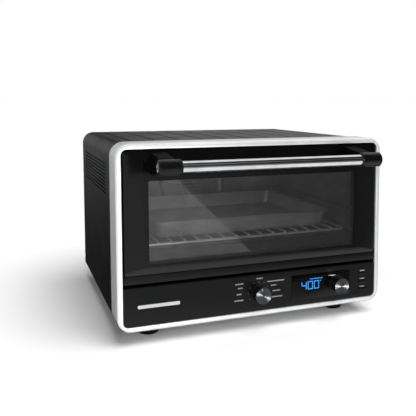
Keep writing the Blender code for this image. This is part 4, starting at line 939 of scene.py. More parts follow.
class OVEN_OT_door(PieceOperator, bpy.types.Operator):
    """Enamel-bordered front glass with its window, and the trim rail below it"""

    bl_idname = "oven.door"
    bl_label = "Door"

    GLASS_EDGE = 0.6 * MM
    RAIL_EDGE = 1.0 * MM
    PIN_REACH = 16.3 * MM  # how far the hinge pins' bores reach in from the rail's ends
    PIN_BORE = 2.3 * MM  # radius

    def execute(self, context):
        self.pane(context.scene.oven_door)
        self.rail()
        return {"FINISHED"}

    def pane(self, door):
        low, high = BOX["door_glass"]
        left, right = low.x + door.side, high.x - door.side
        bottom, top = low.z + door.below, high.z - door.above
        pane = plate("door_pane", low, high, door.corner, segments=5)
        cuts = [((x, 0, 0), (1, 0, 0)) for x in (left, right)]
        cuts += [((0, 0, z), (0, 0, 1)) for z in (bottom, top)]
        for at, normal in cuts:
            shape(pane, "FACE", every, bpy.ops.mesh.bisect, plane_co=at, plane_no=normal)
        front_rim = lambda spot, way: spot.y < low.y + TOUCH and self.on_rim(spot, low, high, door.corner)
        rounded(pane, front_rim, self.GLASS_EDGE, 2)

        def in_window(spot, way):
            return left < spot.x < right and bottom < spot.z < top and abs(way.y) > 0.9

        two_finishes(pane, printed_glass(), clear_glass("front_pane", 0.97), in_window)
        settle(pane, None, "door_glass", "door", "door_glass")

    @staticmethod
    def on_rim(spot, low, high, corner):
        """True for the outline's edges, round corners included."""
        across = min(spot.x - low.x, high.x - spot.x)
        upright = min(spot.z - low.z, high.z - spot.z)
        if min(across, upright) < TOUCH:
            return True
        away = math.hypot(corner - across, corner - upright)
        return across < corner and upright < corner and away > corner * 0.97

    def rail(self):
        low, high = BOX["door_rail"]
        rail = box("door_trim_rail", low, high)
        soften(rail, self.RAIL_EDGE, 3)
        for hand, (side, outward) in HANDS.items():
            pin = middle(f"hinge_pin_{hand}")
            start = (side * (high.x - self.PIN_REACH), pin.y, pin.z)
            bore = [(0, self.PIN_BORE), (self.PIN_REACH + PAST, self.PIN_BORE)]
            carve(rail, turned("bore", start, outward, bore, 24))
        settle(rail, moulded_abs(), "black_plastic", "door", "door_rail")


class OVEN_OT_handle(PieceOperator, bpy.types.Operator):
    """Polished bar in black end caps, on arms that flare towards the door"""

    bl_idname = "oven.handle"
    bl_label = "Handle"

    BAR_EDGE = 0.4 * MM
    GROOVE_FROM, GROOVE_TO, GROOVE_DEPTH = 2.6 * MM, 3.4 * MM, 0.6 * MM  # of the ring near the cap's mouth
    DISH = 1.4 * MM  # depth of the cap's end, where the bright disc lies
    SOCKET = 15.3 * MM  # how far the bar's bore reaches into the cap
    ARM = 11 * MM  # half the arm's width
    ARM_EDGE = 1.8 * MM
    TAPER = 17 / 33  # the arm's height at the bar, as a share of its height at the door

    def execute(self, context):
        low, high = BOX["handle_bar"]
        axis = middle("handle_bar")
        radius = (high.z - low.z) / 2
        reach, edge = high.x - low.x, self.BAR_EDGE
        ends = [(0, radius - edge), (edge, radius), (reach - edge, radius), (reach, radius - edge)]
        bar = turned("polished_bar", (low.x, axis.y, axis.z), "+X", ends, 96)
        settle(bar, chromed_steel(), "chrome", "door", "handle_bar")
        for hand in HANDS:
            self.cap(hand, context.scene.oven_door.cap, axis, radius)
        return {"FINISHED"}

    def cap(self, hand, chamfer, axis, bar_radius):
        """A turned cap with a ring cut near its mouth, joined to its arm and bored for the bar."""
        side, outward = HANDS[hand]
        low, high = BOX[f"handle_cap_{hand}"]
        inner, outer = sorted((abs(low.x), abs(high.x)))
        wide = axis.y - low.y
        near, far = inner + self.GROOVE_FROM, inner + self.GROOVE_TO
        sunk = wide - self.GROOVE_DEPTH
        profile = [(inner, bar_radius + 1.0 * MM), (inner, wide - chamfer), (inner + chamfer, wide)]
        profile += [(near, wide), (near, sunk), (far, sunk), (far, wide)]
        profile += [(outer - chamfer, wide), (outer, wide - chamfer), (outer, wide - chamfer - 1.2 * MM)]
        profile += [(outer - self.DISH, wide - chamfer - self.DISH)]
        cap = turned(f"end_cap_{hand}", (0, axis.y, axis.z), outward, profile, 64)
        x = side * (inner + outer) / 2
        arm = box("arm", (x - self.ARM, axis.y, low.z), (x + self.ARM, high.y, high.z))
        towards = lambda spot, way: way.y < -0.9
        narrow = {"value": (1, 1, self.TAPER), "center_override": tuple(axis)}
        shape(arm, "FACE", towards, bpy.ops.transform.resize, **narrow)
        soften(arm, self.ARM_EDGE, 3)
        carve(cap, arm, "UNION")
        bore_radius = bar_radius + 0.2 * MM
        bore = [(inner - 2 * PAST, bore_radius), (inner + self.SOCKET, bore_radius)]
        carve(cap, turned("bore", (0, axis.y, axis.z), outward, bore, 64))

        def on_shaded_arm(spot, way):
            away = math.hypot(spot.y - axis.y, spot.z - axis.z)
            return away > wide + TOUCH or (spot.y > axis.y and away > wide - self.GROOVE_DEPTH / 2)

        # Painted shade: the arms take the darker, unreflecting copy of the phenolic
        two_finishes(cap, glossy_phenolic(), shaded_arm_phenolic(), on_shaded_arm)
        settle(cap, None, "black_plastic", "door", f"handle_cap_{hand}")
        self.end_disc(hand, axis, outer, wide - chamfer - 1.8 * MM)

    @staticmethod
    def end_disc(hand, axis, outer, rim):
        """The bright disc set in a cap's end, with a raised ring round it."""
        profile = [(outer - 1.3 * MM, rim), (outer - 0.7 * MM, rim), (outer - 0.5 * MM, rim - 0.4 * MM)]
        profile += [(outer - 0.5 * MM, rim - 1.3 * MM), (outer - 0.9 * MM, rim - 1.7 * MM)]
        disc = turned(f"end_disc_{hand}", (0, axis.y, axis.z), HANDS[hand][1], profile, 64)
        settle(disc, chromed_steel(), "chrome", "door")


class OVEN_OT_panel(PieceOperator, bpy.types.Operator):
    """Moulded control panel with its recesses and holes"""

    bl_idname = "oven.panel"
    bl_label = "Control panel"

    WALL = 3 * MM
    LOWER_CORNER, UPPER_CORNER = 8 * MM, 2.5 * MM
    LENS_GAP = 0.3 * MM
    BUTTON_HOLE = (7.4 * MM, 2.9 * MM)  # half its width and half its height

    def execute(self, context):
        low, high = BOX["control_panel"]
        centre = middle("control_panel").z
        wall = self.WALL
        panel = box("front_panel", low, high)
        for radius, test in (
            (self.LOWER_CORNER, lambda spot, way: abs(way.y) > 0.999 and spot.z < centre),
            (self.UPPER_CORNER, lambda spot, way: abs(way.y) > 0.999 and spot.z > high.z - TOUCH),
            (context.scene.oven_controls.edge, lambda spot, way: spot.y < low.y + TOUCH),
        ):
            rounded(panel, test, radius, 5)
        inside = Vector((wall, wall, wall))
        carve(panel, box("hollow", low + inside, (high.x - wall, high.y + wall, high.z - wall)))
        gap = self.LENS_GAP
        lens_low, lens_high = BOX["display_lens"]
        left, right = lens_low.x - gap, lens_high.x + gap
        self.hole(panel, left, right, lens_low.z - gap, lens_high.z + gap, lens_high.y + gap)
        wide, tall = self.BUTTON_HOLE
        for name in BUTTONS:
            x, _, z = middle(name)
            self.hole(panel, x - wide, x + wide, z - tall, z + tall, low.y + 2 * wall)
        shaft = [(-wall, SHAFT_HOLE), (2 * wall, SHAFT_HOLE)]
        for knob in (middle("mode_knob"), middle("adjust_knob")):
            carve(panel, turned("shaft_hole", (knob.x, low.y, knob.z), "+Y", shaft, 32))
        settle(panel, moulded_abs(), "black_plastic", "oven", "control_panel")
        return {"FINISHED"}

    def hole(self, panel, left, right, bottom, top, back):
        front = BOX["control_panel"][0].y - self.WALL
        carve(panel, plate("recess", (left, front, bottom), (right, back, top), 0.6 * MM, segments=3))


class OVEN_OT_display(PieceOperator, bpy.types.Operator):
    """Glossy lens with lit digits and a lit line above them"""

    bl_idname = "oven.display"
    bl_label = "Display"

    SEGMENTS = {
        "0": "abcdef", "1": "bc", "2": "abdeg", "3": "abcdg", "4": "bcfg",
        "5": "acdfg", "6": "acdefg", "7": "abc", "8": "abcdefg", "9": "abcdfg",
    }
    WIDE, TALL, PITCH, STROKE = 9.2 * MM, 13.3 * MM, 11.0 * MM, 1.5 * MM  # of a digit
    LEFT, BASE = 17.5 * MM, 15.4 * MM  # of the first digit, from the lens's lower left corner
    DEGREE = 1.6 * MM
    LINE_START, LINE_RISE, LINE_GAP = 15 * MM, 2.6 * MM, 0.55 * MM
    LINE_RUNS = (1.6, 1.1, 2.4, 1.7, 2.9, 1.2, 2.2, 1.9, 2.6)  # lengths of the line's dashes in mm

    def execute(self, context):
        reading = context.scene.oven_controls.text
        low, high = BOX["display_lens"]
        lens = plate("glossy_lens", low, high, 0.9 * MM, segments=4)
        soften(lens, 0.35 * MM, 2)
        knob = middle("adjust_knob")
        hole = [(-3 * MM, SHAFT_HOLE), (5 * MM, SHAFT_HOLE)]
        carve(lens, turned("shaft_hole", (knob.x, low.y, knob.z), "+Y", hole, 32))
        settle(lens, gloss_acrylic(), "lens", "oven", "display_lens")
        left, base, front = low.x + self.LEFT, low.z + self.BASE, low.y
        parts = []
        for index, digit in enumerate(reading):
            for letter in self.SEGMENTS[digit]:
                parts.append(self.segment(letter, left + index * self.PITCH, base, front))
        x, z, size = left + len(reading) * self.PITCH + 0.3 * MM, base + self.TALL - self.DEGREE, self.DEGREE
        parts.append(bar_of("degree", x, z, size, size, front, LIT_PROUD))
        x, z = left + self.LINE_START, base + self.TALL + self.LINE_RISE
        for run in self.LINE_RUNS:
            parts.append(bar_of("line", x, z, run * MM, self.STROKE, front, LIT_PROUD))
            x += run * MM + self.LINE_GAP
        settle(joined("lit_digits", parts), lit_segment(), "lens", "oven")
        return {"FINISHED"}

    def segment(self, letter, x, z, front):
        """One bar of a seven-bar digit, a at the top and on round to f, with g in the middle."""
        wide, tall, stroke = self.WIDE, self.TALL, self.STROKE
        gap = 0.25 * MM
        upright = tall / 2 - stroke / 2 - 2 * gap
        places = {
            "a": (x, z + tall - stroke, wide, stroke),
            "b": (x + wide - stroke, z + tall / 2 + gap, stroke, upright),
            "c": (x + wide - stroke, z + stroke / 2 + gap, stroke, upright),
            "d": (x, z, wide, stroke),
            "e": (x, z + stroke / 2 + gap, stroke, upright),
            "f": (x, z + tall / 2 + gap, stroke, upright),
            "g": (x + stroke / 2, z + tall / 2 - stroke / 2, wide - stroke, stroke),
        }
        return bar_of("segment", *places[letter], front, LIT_PROUD)


def bar_of(name, x, z, wide, tall, front, proud):
    """A flat raised mark with round corners whose back lies just inside the surface at front."""
    corner = min(wide, tall) * 0.22
    return plate(name, (x, front - proud, z), (x + wide, front + proud, z + tall), corner, segments=2)


class OVEN_OT_knobs(PieceOperator, bpy.types.Operator):
    """Two black knobs with spun metal faces and their pointers"""

    bl_idname = "oven.knobs"
    bl_label = "Knobs"

    POINTS_TO = {"mode": 105, "adjust": 180}  # degrees round from the right
    STEM_RADIUS, STEM_DEPTH = 3.2 * MM, 13.9 * MM
    MARK_FROM, MARK_LONG, MARK_WIDE = 8.6 * MM, 3.6 * MM, 1.6 * MM

    def execute(self, context):
        for kind, turn in self.POINTS_TO.items():
            self.knob(kind, turn, context.scene.oven_controls.face)
        return {"FINISHED"}

    def knob(self, kind, turn, rim):
        low, high = BOX[f"{kind}_knob"]
        centre = middle(f"{kind}_knob")
        radius = (high.x - low.x) / 2
        long = high.y - low.y
        disc = radius - rim - 0.3 * MM
        # A skirt at the panel, a side that draws in a little, and a face dished towards its middle
        profile = [(0, radius - 0.5 * MM), (0.5 * MM, radius)]
        profile += [(2.2 * MM, radius), (2.8 * MM, radius - 0.5 * MM)]
        profile += [(long - 2.4 * MM, radius - 0.7 * MM), (long - 0.4 * MM, radius - 0.8 * MM)]
        profile += [(long, radius - 1.2 * MM), (long, disc + 0.1 * MM)]
        profile += [(long - 0.45 * MM, disc), (long - 0.7 * MM, 2.2 * MM), (long - 0.62 * MM, 0.9 * MM)]
        knob = turned(f"{kind}_dial", (centre.x, high.y, centre.z), "-Y", profile, 96)
        stem = [(-PAST, self.STEM_RADIUS), (self.STEM_DEPTH, self.STEM_RADIUS)]
        carve(knob, turned("bore", (centre.x, high.y, centre.z), "-Y", stem, 32))

        def on_disc(spot, way):
            away = math.hypot(spot.x - centre.x, spot.z - centre.z)
            return way.y < -0.8 and away < disc + 0.1 * MM

        two_finishes(knob, glossy_phenolic(), spun_face(centre.x, centre.z), on_disc)
        settle(knob, None, "black_plastic", f"{kind}_control", f"{kind}_knob")
        wide = self.MARK_WIDE
        mark = bar_of(f"{kind}_pointer", self.MARK_FROM, -wide / 2, self.MARK_LONG, wide, 0, 0.3 * MM)
        mark.data.transform(Matrix.Rotation(-math.radians(turn), 4, "Y"))
        mark.data.transform(Matrix.Translation((centre.x, low.y + 0.45 * MM, centre.z)))
        settle(mark, printed_ink(), "chrome", f"{kind}_control")


class OVEN_OT_buttons(PieceOperator, bpy.types.Operator):
    """Three sprung push bars with softly crowned fronts"""

    bl_idname = "oven.buttons"
    bl_label = "Buttons"

    HALF_WIDE, HALF_TALL = 7 * MM, 2.5 * MM
    CORNER = 1.4 * MM
    LIP_BEHIND, LIP_THICK = 3.3 * MM, 1.0 * MM  # of the lip that keeps a button in the panel

    def execute(self, context):
        for name, body in BUTTONS.items():
            low, high = BOX[name]
            x, _, z = middle(name)
            front = (x - self.HALF_WIDE, low.y, z - self.HALF_TALL)
            back = (x + self.HALF_WIDE, high.y, z + self.HALF_TALL)
            bar = plate(f"push_{name}", front, back, self.CORNER, segments=5)
            rounded(bar, lambda spot, way: spot.y < low.y + TOUCH, 0.6 * MM, 3)
            lip_front = BOX["control_panel"][0].y + self.LIP_BEHIND
            lip_back = (high.x, lip_front + self.LIP_THICK, high.z)
            lip = plate("lip", (low.x, lip_front, low.z), lip_back, self.CORNER, segments=3)
            carve(bar, lip, "UNION")
            settle(bar, moulded_abs(), "button_grey", body, name)
        return {"FINISHED"}


class OVEN_OT_marks(PieceOperator, bpy.types.Operator):
    """Printed marks round the controls, and a plain nameplate"""

    bl_idname = "oven.marks"
    bl_label = "Marks and nameplate"

    # (left edge, height above the knob's centre, length) of each printed line round the mode knob, in mm
    KNOB_LINES = (
        (-40, -8.8, 15), (-36, 0.8, 8), (-34, 10.1, 8), (-38.5, 16.6, 13),
        (-3.5, 22.2, 10), (14.5, 15.8, 28), (20.5, 9.2, 9), (23, 0.4, 13), (22, -9.2, 18),
    )
    DASHES = (1.5, 1.1, 1.9, 1.3, 0.9, 1.7)  # lengths of a line's dashes in mm
    DASH_GAP = 0.5 * MM
    TICK, TICKS_AWAY = 0.8 * MM, 17.2 * MM
    BUTTON_LINE = (-4.2 * MM, 5.4 * MM, 9 * MM, 1.8 * MM)  # from a button's middle, then length and height
    BADGE_CORNER, BADGE_RIM = 1.4 * MM, 0.7 * MM
    INLAY_CORNER, INLAY_INSET, INLAY_HALF = 1.6 * MM, 3 * MM, 2.5 * MM

    def execute(self, context):
        self.printed()
        self.nameplate()
        return {"FINISHED"}

    def printed(self):
        centre = middle("mode_knob")
        front = BOX["control_panel"][0].y
        parts = []
        for x, z, run in self.KNOB_LINES:
            parts += self.line(centre.x + x * MM, centre.z + z * MM, run * MM, 1.9 * MM, front)
        for turn in range(-30, 211, 30):
            angle = math.radians(turn)
            x = centre.x + self.TICKS_AWAY * math.cos(angle) - self.TICK / 2
            z = centre.z + self.TICKS_AWAY * math.sin(angle) - self.TICK / 2
            parts.append(bar_of("tick", x, z, self.TICK, self.TICK, front, PRINT_PROUD))
        across, above, run, tall = self.BUTTON_LINE
        for name in BUTTONS:
            spot = middle(name)
            parts += self.line(spot.x + across, spot.z + above, run, tall, front)
        settle(joined("printed_marks", parts), printed_ink(), "button_grey", "oven")

    def line(self, x, z, run, tall, front):
        """A row of small dashes that fills a length."""
        parts = []
        end = x + run
        while x < end - self.DASH_GAP:
            wide = min(self.DASHES[len(parts) % len(self.DASHES)] * MM, end - x)
            parts.append(bar_of("dash", x, z - tall / 2, wide, tall, front, PRINT_PROUD))
            x += wide + self.DASH_GAP
        return parts

    def nameplate(self):
        """A dark plate with a sunk face, and a bright inlay with no lettering on it."""
        low, high = BOX["nameplate"]
        centre = middle("nameplate")
        badge = plate("plain_nameplate", low, high, self.BADGE_CORNER, segments=4)
        at_front = lambda spot, way: way.y < -0.9

        def in_middle(spot, way):
            return way.y < -0.9 and max(abs(spot.x - centre.x), abs(spot.z - centre.z)) < MM

        shape(badge, "FACE", at_front, bpy.ops.mesh.inset, thickness=self.BADGE_RIM, depth=0)
        shape(badge, "FACE", in_middle, bpy.ops.mesh.inset, thickness=0.05 * MM, depth=-0.3 * MM)
        settle(badge, moulded_abs(), "brushed_aluminium", "oven", "nameplate")
        inlay_low = Vector((low.x + self.INLAY_INSET, low.y - 0.1 * MM, centre.z - self.INLAY_HALF))
        inlay_high = Vector((high.x - self.INLAY_INSET, high.y, centre.z + self.INLAY_HALF))
        inlay = plate("nameplate_inlay", inlay_low, inlay_high, self.INLAY_CORNER, segments=4)
        settle(inlay, brushed_aluminium(), "brushed_aluminium", "oven")


class OVEN_OT_rack(PieceOperator, bpy.types.Operator):
    """Wire rack: a bent rim with cross wires welded on top"""

    bl_idname = "oven.rack"
    bl_label = "Rack"

    CORNER = 12 * MM
    ROD_TIP = 0.5 * MM
    SIDE_CLEAR = 18 * MM  # between the rim's side wires and the outermost cross wires

    def execute(self, context):
        inside = context.scene.oven_inside
        low, high = BOX["wire_rack"]
        wire, thick, tip = inside.wire, inside.cross_wire, self.ROD_TIP
        centre_z = low.z + wire
        near, far = low.y + wire, high.y - wire
        half = high.x - wire
        loop = bent_wire("rack_wires", (-half, near, centre_z), (half, far, centre_z), self.CORNER, wire)
        reach = far - near + 2 * thick
        profile = [(0, thick - tip), (tip, thick), (reach - tip, thick), (reach, thick - tip)]
        rod = turned("rod", (0, near - thick, high.z - thick), "+Y", profile, 16)
        count = 1 + int(2 * (half - self.SIDE_CLEAR) / inside.cross_pitch)
        carve(loop, row_of(rod, "rods", spread(count, inside.cross_pitch)), "UNION")
        settle(loop, nickel_wire(), "chrome", "rack", "wire_rack", angle=50)
        return {"FINISHED"}


class OVEN_OT_pan(PieceOperator, bpy.types.Operator):
    """Drawn baking pan with a rolled rim"""

    bl_idname = "oven.pan"
    bl_label = "Baking pan"

    SHEET = 1.0 * MM
    FLANGE, TAPER = 5 * MM, 5 * MM
    CORNER, FLOOR_EDGE, RIM_CORNER = 14 * MM, 4 * MM, 18 * MM
    RIM = 0.8 * MM  # radius of the rolled wire
    FLANGE_BELOW = 0.6 * MM  # the flange's depth below the rim's top

    def execute(self, context):
        low, high = BOX["baking_pan"]
        centre = middle("baking_pan")
        inner_low = Vector((low.x + self.FLANGE, low.y + self.FLANGE, low.z))
        inner_high = Vector((high.x - self.FLANGE, high.y - self.FLANGE, high.z - self.FLANGE_BELOW))
        pan = plate("drawn_pan", inner_low, inner_high, self.CORNER, axis=2)
        sides = (inner_high.x - inner_low.x, inner_high.y - inner_low.y)
        shares = [(side - 2 * self.TAPER) / side for side in sides]
        draw_in = {"value": (*shares, 1), "center_override": (centre.x, centre.y, low.z)}
        shape(pan, "FACE", lambda spot, way: way.z < -0.9, bpy.ops.transform.resize, **draw_in)
        rounded(pan, lambda spot, way: spot.z < low.z + TOUCH, self.FLOOR_EDGE, 4)
        lid = lambda spot, way: way.z > 0.9
        flange = {"thickness": self.FLANGE - self.FLANGE_BELOW, "depth": 0, "use_outset": True}
        shape(pan, "FACE", lid, bpy.ops.mesh.inset, **flange)
        mouth = lambda spot, way: way.z > 0.9 and abs(spot.x) < MM
        shape(pan, "FACE", mouth, bpy.ops.mesh.delete, type="FACE")
        applied(pan, "SOLIDIFY", thickness=self.SHEET, offset=-1.0, use_even_offset=True)
        rim, top = self.RIM, high.z - self.RIM
        rim_low, rim_high = (low.x + rim, low.y + rim, top), (high.x - rim, high.y - rim, top)
        joined("drawn_pan", [pan, bent_wire("rim", rim_low, rim_high, self.RIM_CORNER, rim)])
        settle(pan, pan_steel(), "pan_steel", "rack", "baking_pan", angle=40)
        return {"FINISHED"}


class OVEN_OT_fan_cover(PieceOperator, bpy.types.Operator):
    """Dished cover of the convection fan, pierced with a grid of small holes"""

    bl_idname = "oven.fan_cover"
    bl_label = "Fan cover"

    SHEET = 1.0 * MM
    FLANGE = 5 * MM
    SHOULDER = 5 * MM  # radius of the dish's shoulder
    PLAIN_EDGE = 14 * MM  # unpierced ring round the holes

    def execute(self, context):
        inside = context.scene.oven_inside
        low, high = BOX["fan_cover"]
        x, _, z = middle("fan_cover")
        edge = (high.x - low.x) / 2
        dome = edge - self.FLANGE
        deep, sheet, bend = high.y - low.y, self.SHEET, self.SHOULDER
        outer = [(0, edge - 0.4 * MM), (0.4 * MM, edge), (sheet, edge), (sheet, dome + 1.2 * MM)]
        outer += [(sheet + 1.2 * MM, dome)]
        outer += quarter((deep - bend, dome), (deep, dome - bend))
        outer += [(deep, dome - 9 * MM), (deep - 0.8 * MM, dome - 11 * MM)]
        cover = turned("pierced_cover", (x, high.y, z), "-Y", outer, 96)
        inner = [(-sheet, dome - sheet), (deep - bend, dome - sheet), (deep - 2.6 * MM, dome - 3.6 * MM)]
        inner += [(deep - 2.2 * MM, dome - 9 * MM)]
        carve(cover, turned("dish", (x, high.y, z), "-Y", inner, 96))
        hole = [(0, inside.hole / 2), (self.SHOULDER, inside.hole / 2)]
        pin = turned("pin", (x, low.y - sheet, z), "+Y", hole, 8)
        carve(cover, row_of(pin, "pins", self.grid(dome - self.PLAIN_EDGE, inside.hole_pitch)))
        settle(cover, aluminised_lining(), "enamel", "oven", "fan_cover")
        return {"FINISHED"}

    @staticmethod
    def grid(reach, pitch):
        """The places of a square grid that lie within reach of its middle."""
        steps = range(-int(reach / pitch), int(reach / pitch) + 1)
        places = [(column * pitch, 0, row * pitch) for column in steps for row in steps]
        return [place for place in places if math.hypot(place[0], place[2]) < reach]


class OVEN_OT_carried(PieceOperator, bpy.types.Operator):
    """Finishes for the pieces whose shape comes from the frame as it is"""

    bl_idname = "oven.carried"
    bl_label = "Other pieces"

    def execute(self, context):
        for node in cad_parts.values():
            if node.hide_render:
                continue
            slot = node.data.materials[0].name.split(".")[0]
            node.data.materials[0] = CARRIED[slot]()
        return {"FINISHED"}


class OVEN_OT_stage(PieceOperator, bpy.types.Operator):
    """Pale floor, soft studio lights and the camera"""

    bl_idname = "oven.stage"
    bl_label = "Stage"

    FLOOR_SIDE = 400  # wide enough that its edge never shows
    # Brightness of the surround at angles about the X axis, in degrees up from the front horizon
    ROUND = (
        (-180, 0.45), (-176, 0.3), (-171, 0.08), (-166, 0.02), (-110, 0.03), (-95, 1.0), (-26, 1.0),
        (-18, 0.5), (-3, 0.4), (2, 0.07), (38, 0.06), (41, 0.55), (45, 0.55), (48, 0.06), (84, 0.06),
        (88, 1.0), (138, 1.0), (148, 0.5), (180, 0.45),
    )
    # How the surround varies from left (0) to right (1), before the oven and behind it
    BEFORE = ((0.6, 1.1), (1.0, 0.35))
    BEHIND = ((0.3, 0.85), (0.43, 0.7), (0.5, 0.05), (0.62, 0.07), (0.67, 0.4), (0.72, 0.8), (0.8, 1.0))
    # Two points of the door's inner pane that the glare's edge passes through
    GLARE_EDGE = ((-123.3 * MM, 238.3 * MM), (1.8 * MM, 110.1 * MM))
    GLARE_AWAY = 0.3
    GLARE_SIZE = (0.5, 0.2)

    def execute(self, context):
        stage = context.scene.oven_stage
        scene = context.scene
        scene.view_settings.view_transform = "Standard"
        self.camera(scene, stage)
        self.area("front_fill", (-1.5, -2.0, 0.7), 18.0, (1.4, 1.0), towards=(0.0, -0.1, 0.2))
        self.area("oven_lamp", (0.0, -0.02, 0.262), 0.1, (0.26, 0.12), towards=(0.0, -0.019, 0.0))
        sky = self.light("SUN", "overhead", (0, 0.6, 1.6), (math.radians(24), math.radians(14), 0), 3.4)
        sky.data.angle = math.radians(52)
        sky.visible_glossy = False
        self.glare(stage)
        self.knob_card()
        self.inside_fill()
        self.floor(stage)
        self.surround(scene)
        return {"FINISHED"}

    @staticmethod
    def camera(scene, stage):
        bpy.ops.object.select_all(action="DESELECT")
        bpy.ops.object.camera_add(
            location=stage.place, rotation=(math.pi / 2 - stage.tilt, 0, -stage.turn)
        )
        camera = bpy.context.object
        camera.name = "camera"
        camera.data.lens = stage.lens
        camera.data.shift_x, camera.data.shift_y = stage.shift
        camera.data.clip_start = 0.05
        scene.camera = camera

    @staticmethod
    def light(kind, name, place, turn, power):
        bpy.ops.object.select_all(action="DESELECT")
        bpy.ops.object.light_add(type=kind, location=place, rotation=turn)
        light = bpy.context.object
        light.name = name
        light.data.energy = power
        light.visible_camera = False
        return light

    def area(self, name, place, power, size, towards=None, turn=None):
        """A flat light that either faces a point or has its own turn."""
        if towards is not None:
            turn = (Vector(towards) - Vector(place)).to_track_quat("-Z", "Y").to_euler()
        light = self.light("AREA", name, place, turn, power)
        light.data.shape = "RECTANGLE"
        light.data.size, light.data.size_y = size
        return light

    @staticmethod
    def only_on(light, name, pieces):
        """Lets a light reach no other pieces than these."""
        reached = bpy.data.collections.new(name)
        for piece in pieces:
            reached.objects.link(piece)
        light.light_linking.receiver_collection = reached
        return reached

    def glare(self, stage):
        """A narrow card whose slanted edge is mirrored in the inner pane only."""
        pane = BOX["door_inner_glass"][0].y
        eye = Vector(stage.place)
        mirrored = Vector((eye.x, 2 * pane - eye.y, eye.z))
        ends = []
        for x, z in self.GLARE_EDGE:
            way = Vector((x, pane, z)) - mirrored
            ends.append(mirrored + way * (1 + self.GLARE_AWAY / (mirrored.y - pane)))
        across = (ends[1] - ends[0]).normalized()
        back = Vector((0, -1, 0))
        side = back.cross(across)
        centre = (ends[0] + ends[1]) / 2 - side * (self.GLARE_SIZE[1] / 2)
        turn = Matrix((across, side, back)).transposed().to_euler()
        card = self.area("glare_card", centre, 0.45, self.GLARE_SIZE, turn=turn)
        self.only_on(card, "glare_receivers", [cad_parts["door_inner_glass"]])

    def knob_card(self):
        """A small bright card that draws the two bright wedges on the knobs' spun faces."""
        knob = middle("mode_knob")
        place = Vector((knob.x + 0.58, BOX["mode_knob"][0].y - 0.62, knob.z + 0.24))
        card = self.area("knob_card", place, 50.0, (0.16, 0.16), towards=knob)
        dials = [bpy.data.objects[f"{kind}_dial"] for kind in ("mode", "adjust")]
        self.only_on(card, "knob_receivers", dials)

    def inside_fill(self):
        """A low front light that only the pieces inside the oven take, as if the door were clear."""
        low, high = BOX["cavity_liner"]
        slack = 15 * MM

        def is_inside(piece):
            corners = [piece.matrix_world @ Vector(corner) for corner in piece.bound_box]
            spot = sum(corners, Vector()) / len(corners)
            return all(low[i] - TOUCH < spot[i] < high[i] + slack for i in range(3))

        pieces = [piece for piece in bpy.data.objects if piece.type == "MESH"]
        pieces = [piece for piece in pieces if not piece.name.startswith("door_") and is_inside(piece)]
        turn = (math.radians(86), 0, math.radians(-12))
        card = self.light("AREA", "inside_fill", (-0.2, -0.95, 0.07), turn, 3.4)
        card.data.size = 0.25
        card.light_linking.blocker_collection = self.only_on(card, "inside", pieces)

    @staticmethod
    def floor(stage):
        bpy.ops.object.select_all(action="DESELECT")
        bpy.ops.mesh.primitive_grid_add(x_subdivisions=8, y_subdivisions=8, size=OVEN_OT_stage.FLOOR_SIDE)
        floor = bpy.context.object
        floor.name = "floor"
        material, tree, shader, spot = finish_of("pale_floor", stage.floor, 0.9, Specular_IOR_Level=0.0)
        mottle = noise(tree, spot, 1 / 3, 2.0)
        patterned(tree, shader, "Base Color", mottle, shade(stage.floor, 0.99), shade(stage.floor, 1.0))
        floor.data.materials.append(material)
        floor.visible_glossy = False

    def surround(self, scene):
        """White as seen, and a studio of bright and dark cards as it lights and is mirrored."""
        world = bpy.data.worlds.new("studio")
        scene.world = world
        world.use_nodes = True
        tree = world.node_tree

        def maths(operation, *values):
            return add(tree, "ShaderNodeMath", dict(enumerate(values)), operation=operation).outputs[0]

        def mixed(factor, first, second):
            return add(tree, "ShaderNodeMix", {0: factor, 2: first, 3: second}).outputs[0]

        def ramp(factor, stops):
            return add(tree, "ShaderNodeValToRGB", {"Fac": factor}, stops).outputs["Color"]

        def fade(value, start, end):
            spans = {"Value": value, "From Min": start, "From Max": end}
            return add(tree, "ShaderNodeMapRange", spans).outputs[0]

        way = add(tree, "ShaderNodeTexCoord").outputs["Generated"]
        x, y, z = (add(tree, "ShaderNodeSeparateXYZ", {"Vector": way}).outputs[axis] for axis in "XYZ")
        turn = maths("ARCTAN2", z, maths("MULTIPLY", y, -1.0))
        share = maths("MULTIPLY_ADD", turn, 0.5 / math.pi, 0.5)
        rings = ramp(share, [(angle / 360 + 0.5, value) for angle, value in self.ROUND])
        place = maths("MULTIPLY_ADD", x, 1.0, 0.5)
        side = mixed(fade(y, -0.05, 0.05), ramp(place, self.BEFORE), ramp(place, self.BEHIND))
        even = mixed(fade(z, -0.45, -0.3), 1.0, side)
        ray = add(tree, "ShaderNodeLightPath")
        dimmed = mixed(ray.outputs["Is Diffuse Ray"], 1.0, 0.35)
        lit = tree.nodes["Background"]
        tree.links.new(rings, lit.inputs["Color"])
        tree.links.new(maths("MULTIPLY", even, dimmed), lit.inputs["Strength"])
        seen = add(tree, "ShaderNodeBackground", {"Color": (1, 1, 1, 1), "Strength": 1.0})
        both = {0: ray.outputs["Is Camera Ray"], 1: lit.outputs[0], 2: seen.outputs[0]}
        shown = add(tree, "ShaderNodeMixShader", both)
        tree.links.new(shown.outputs[0], tree.nodes["World Output"].inputs["Surface"])


PIECES = (
    OVEN_OT_bezel,
    OVEN_OT_case,
    OVEN_OT_feet,
    OVEN_OT_rear,
    OVEN_OT_door,
    OVEN_OT_handle,
    OVEN_OT_panel,
    OVEN_OT_display,
    OVEN_OT_knobs,
    OVEN_OT_buttons,
    OVEN_OT_marks,
    OVEN_OT_rack,
    OVEN_OT_pan,
    OVEN_OT_fan_cover,
    OVEN_OT_carried,
    OVEN_OT_stage,
)
GROUPS = {
    "oven_case": OvenCase,
    "oven_door": OvenDoor,
    "oven_controls": OvenControls,
    "oven_inside": OvenInside,
    "oven_stage": OvenStage,
}


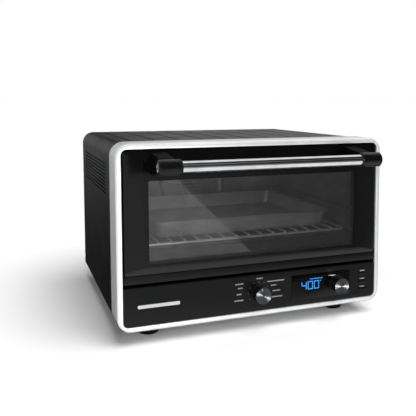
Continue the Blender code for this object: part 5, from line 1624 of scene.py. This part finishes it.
class OVEN_PT_pieces(bpy.types.Panel):
    """Lists the pieces to build and the sizes and colours they are built from"""

    bl_label = "Toaster oven"
    bl_idname = "OVEN_PT_pieces"
    bl_space_type = "VIEW_3D"
    bl_region_type = "UI"
    bl_category = "Oven"

    def draw(self, context):
        for name, group in GROUPS.items():
            part = self.layout.box()
            for field in group.__annotations__:
                part.prop(getattr(context.scene, name), field)
        for piece in PIECES:
            self.layout.operator(piece.bl_idname)


def register():
    for name, group in GROUPS.items():
        bpy.utils.register_class(group)
        setattr(bpy.types.Scene, name, PointerProperty(type=group))
    for made in (*PIECES, OVEN_PT_pieces):
        bpy.utils.register_class(made)


def unregister():
    for made in reversed((*PIECES, OVEN_PT_pieces)):
        bpy.utils.unregister_class(made)
    for name, group in GROUPS.items():
        delattr(bpy.types.Scene, name)
        bpy.utils.unregister_class(group)


def main():
    register()
    for piece in PIECES:
        family, step = piece.bl_idname.split(".")
        getattr(getattr(bpy.ops, family), step)()


if __name__ == "__main__":
    main()
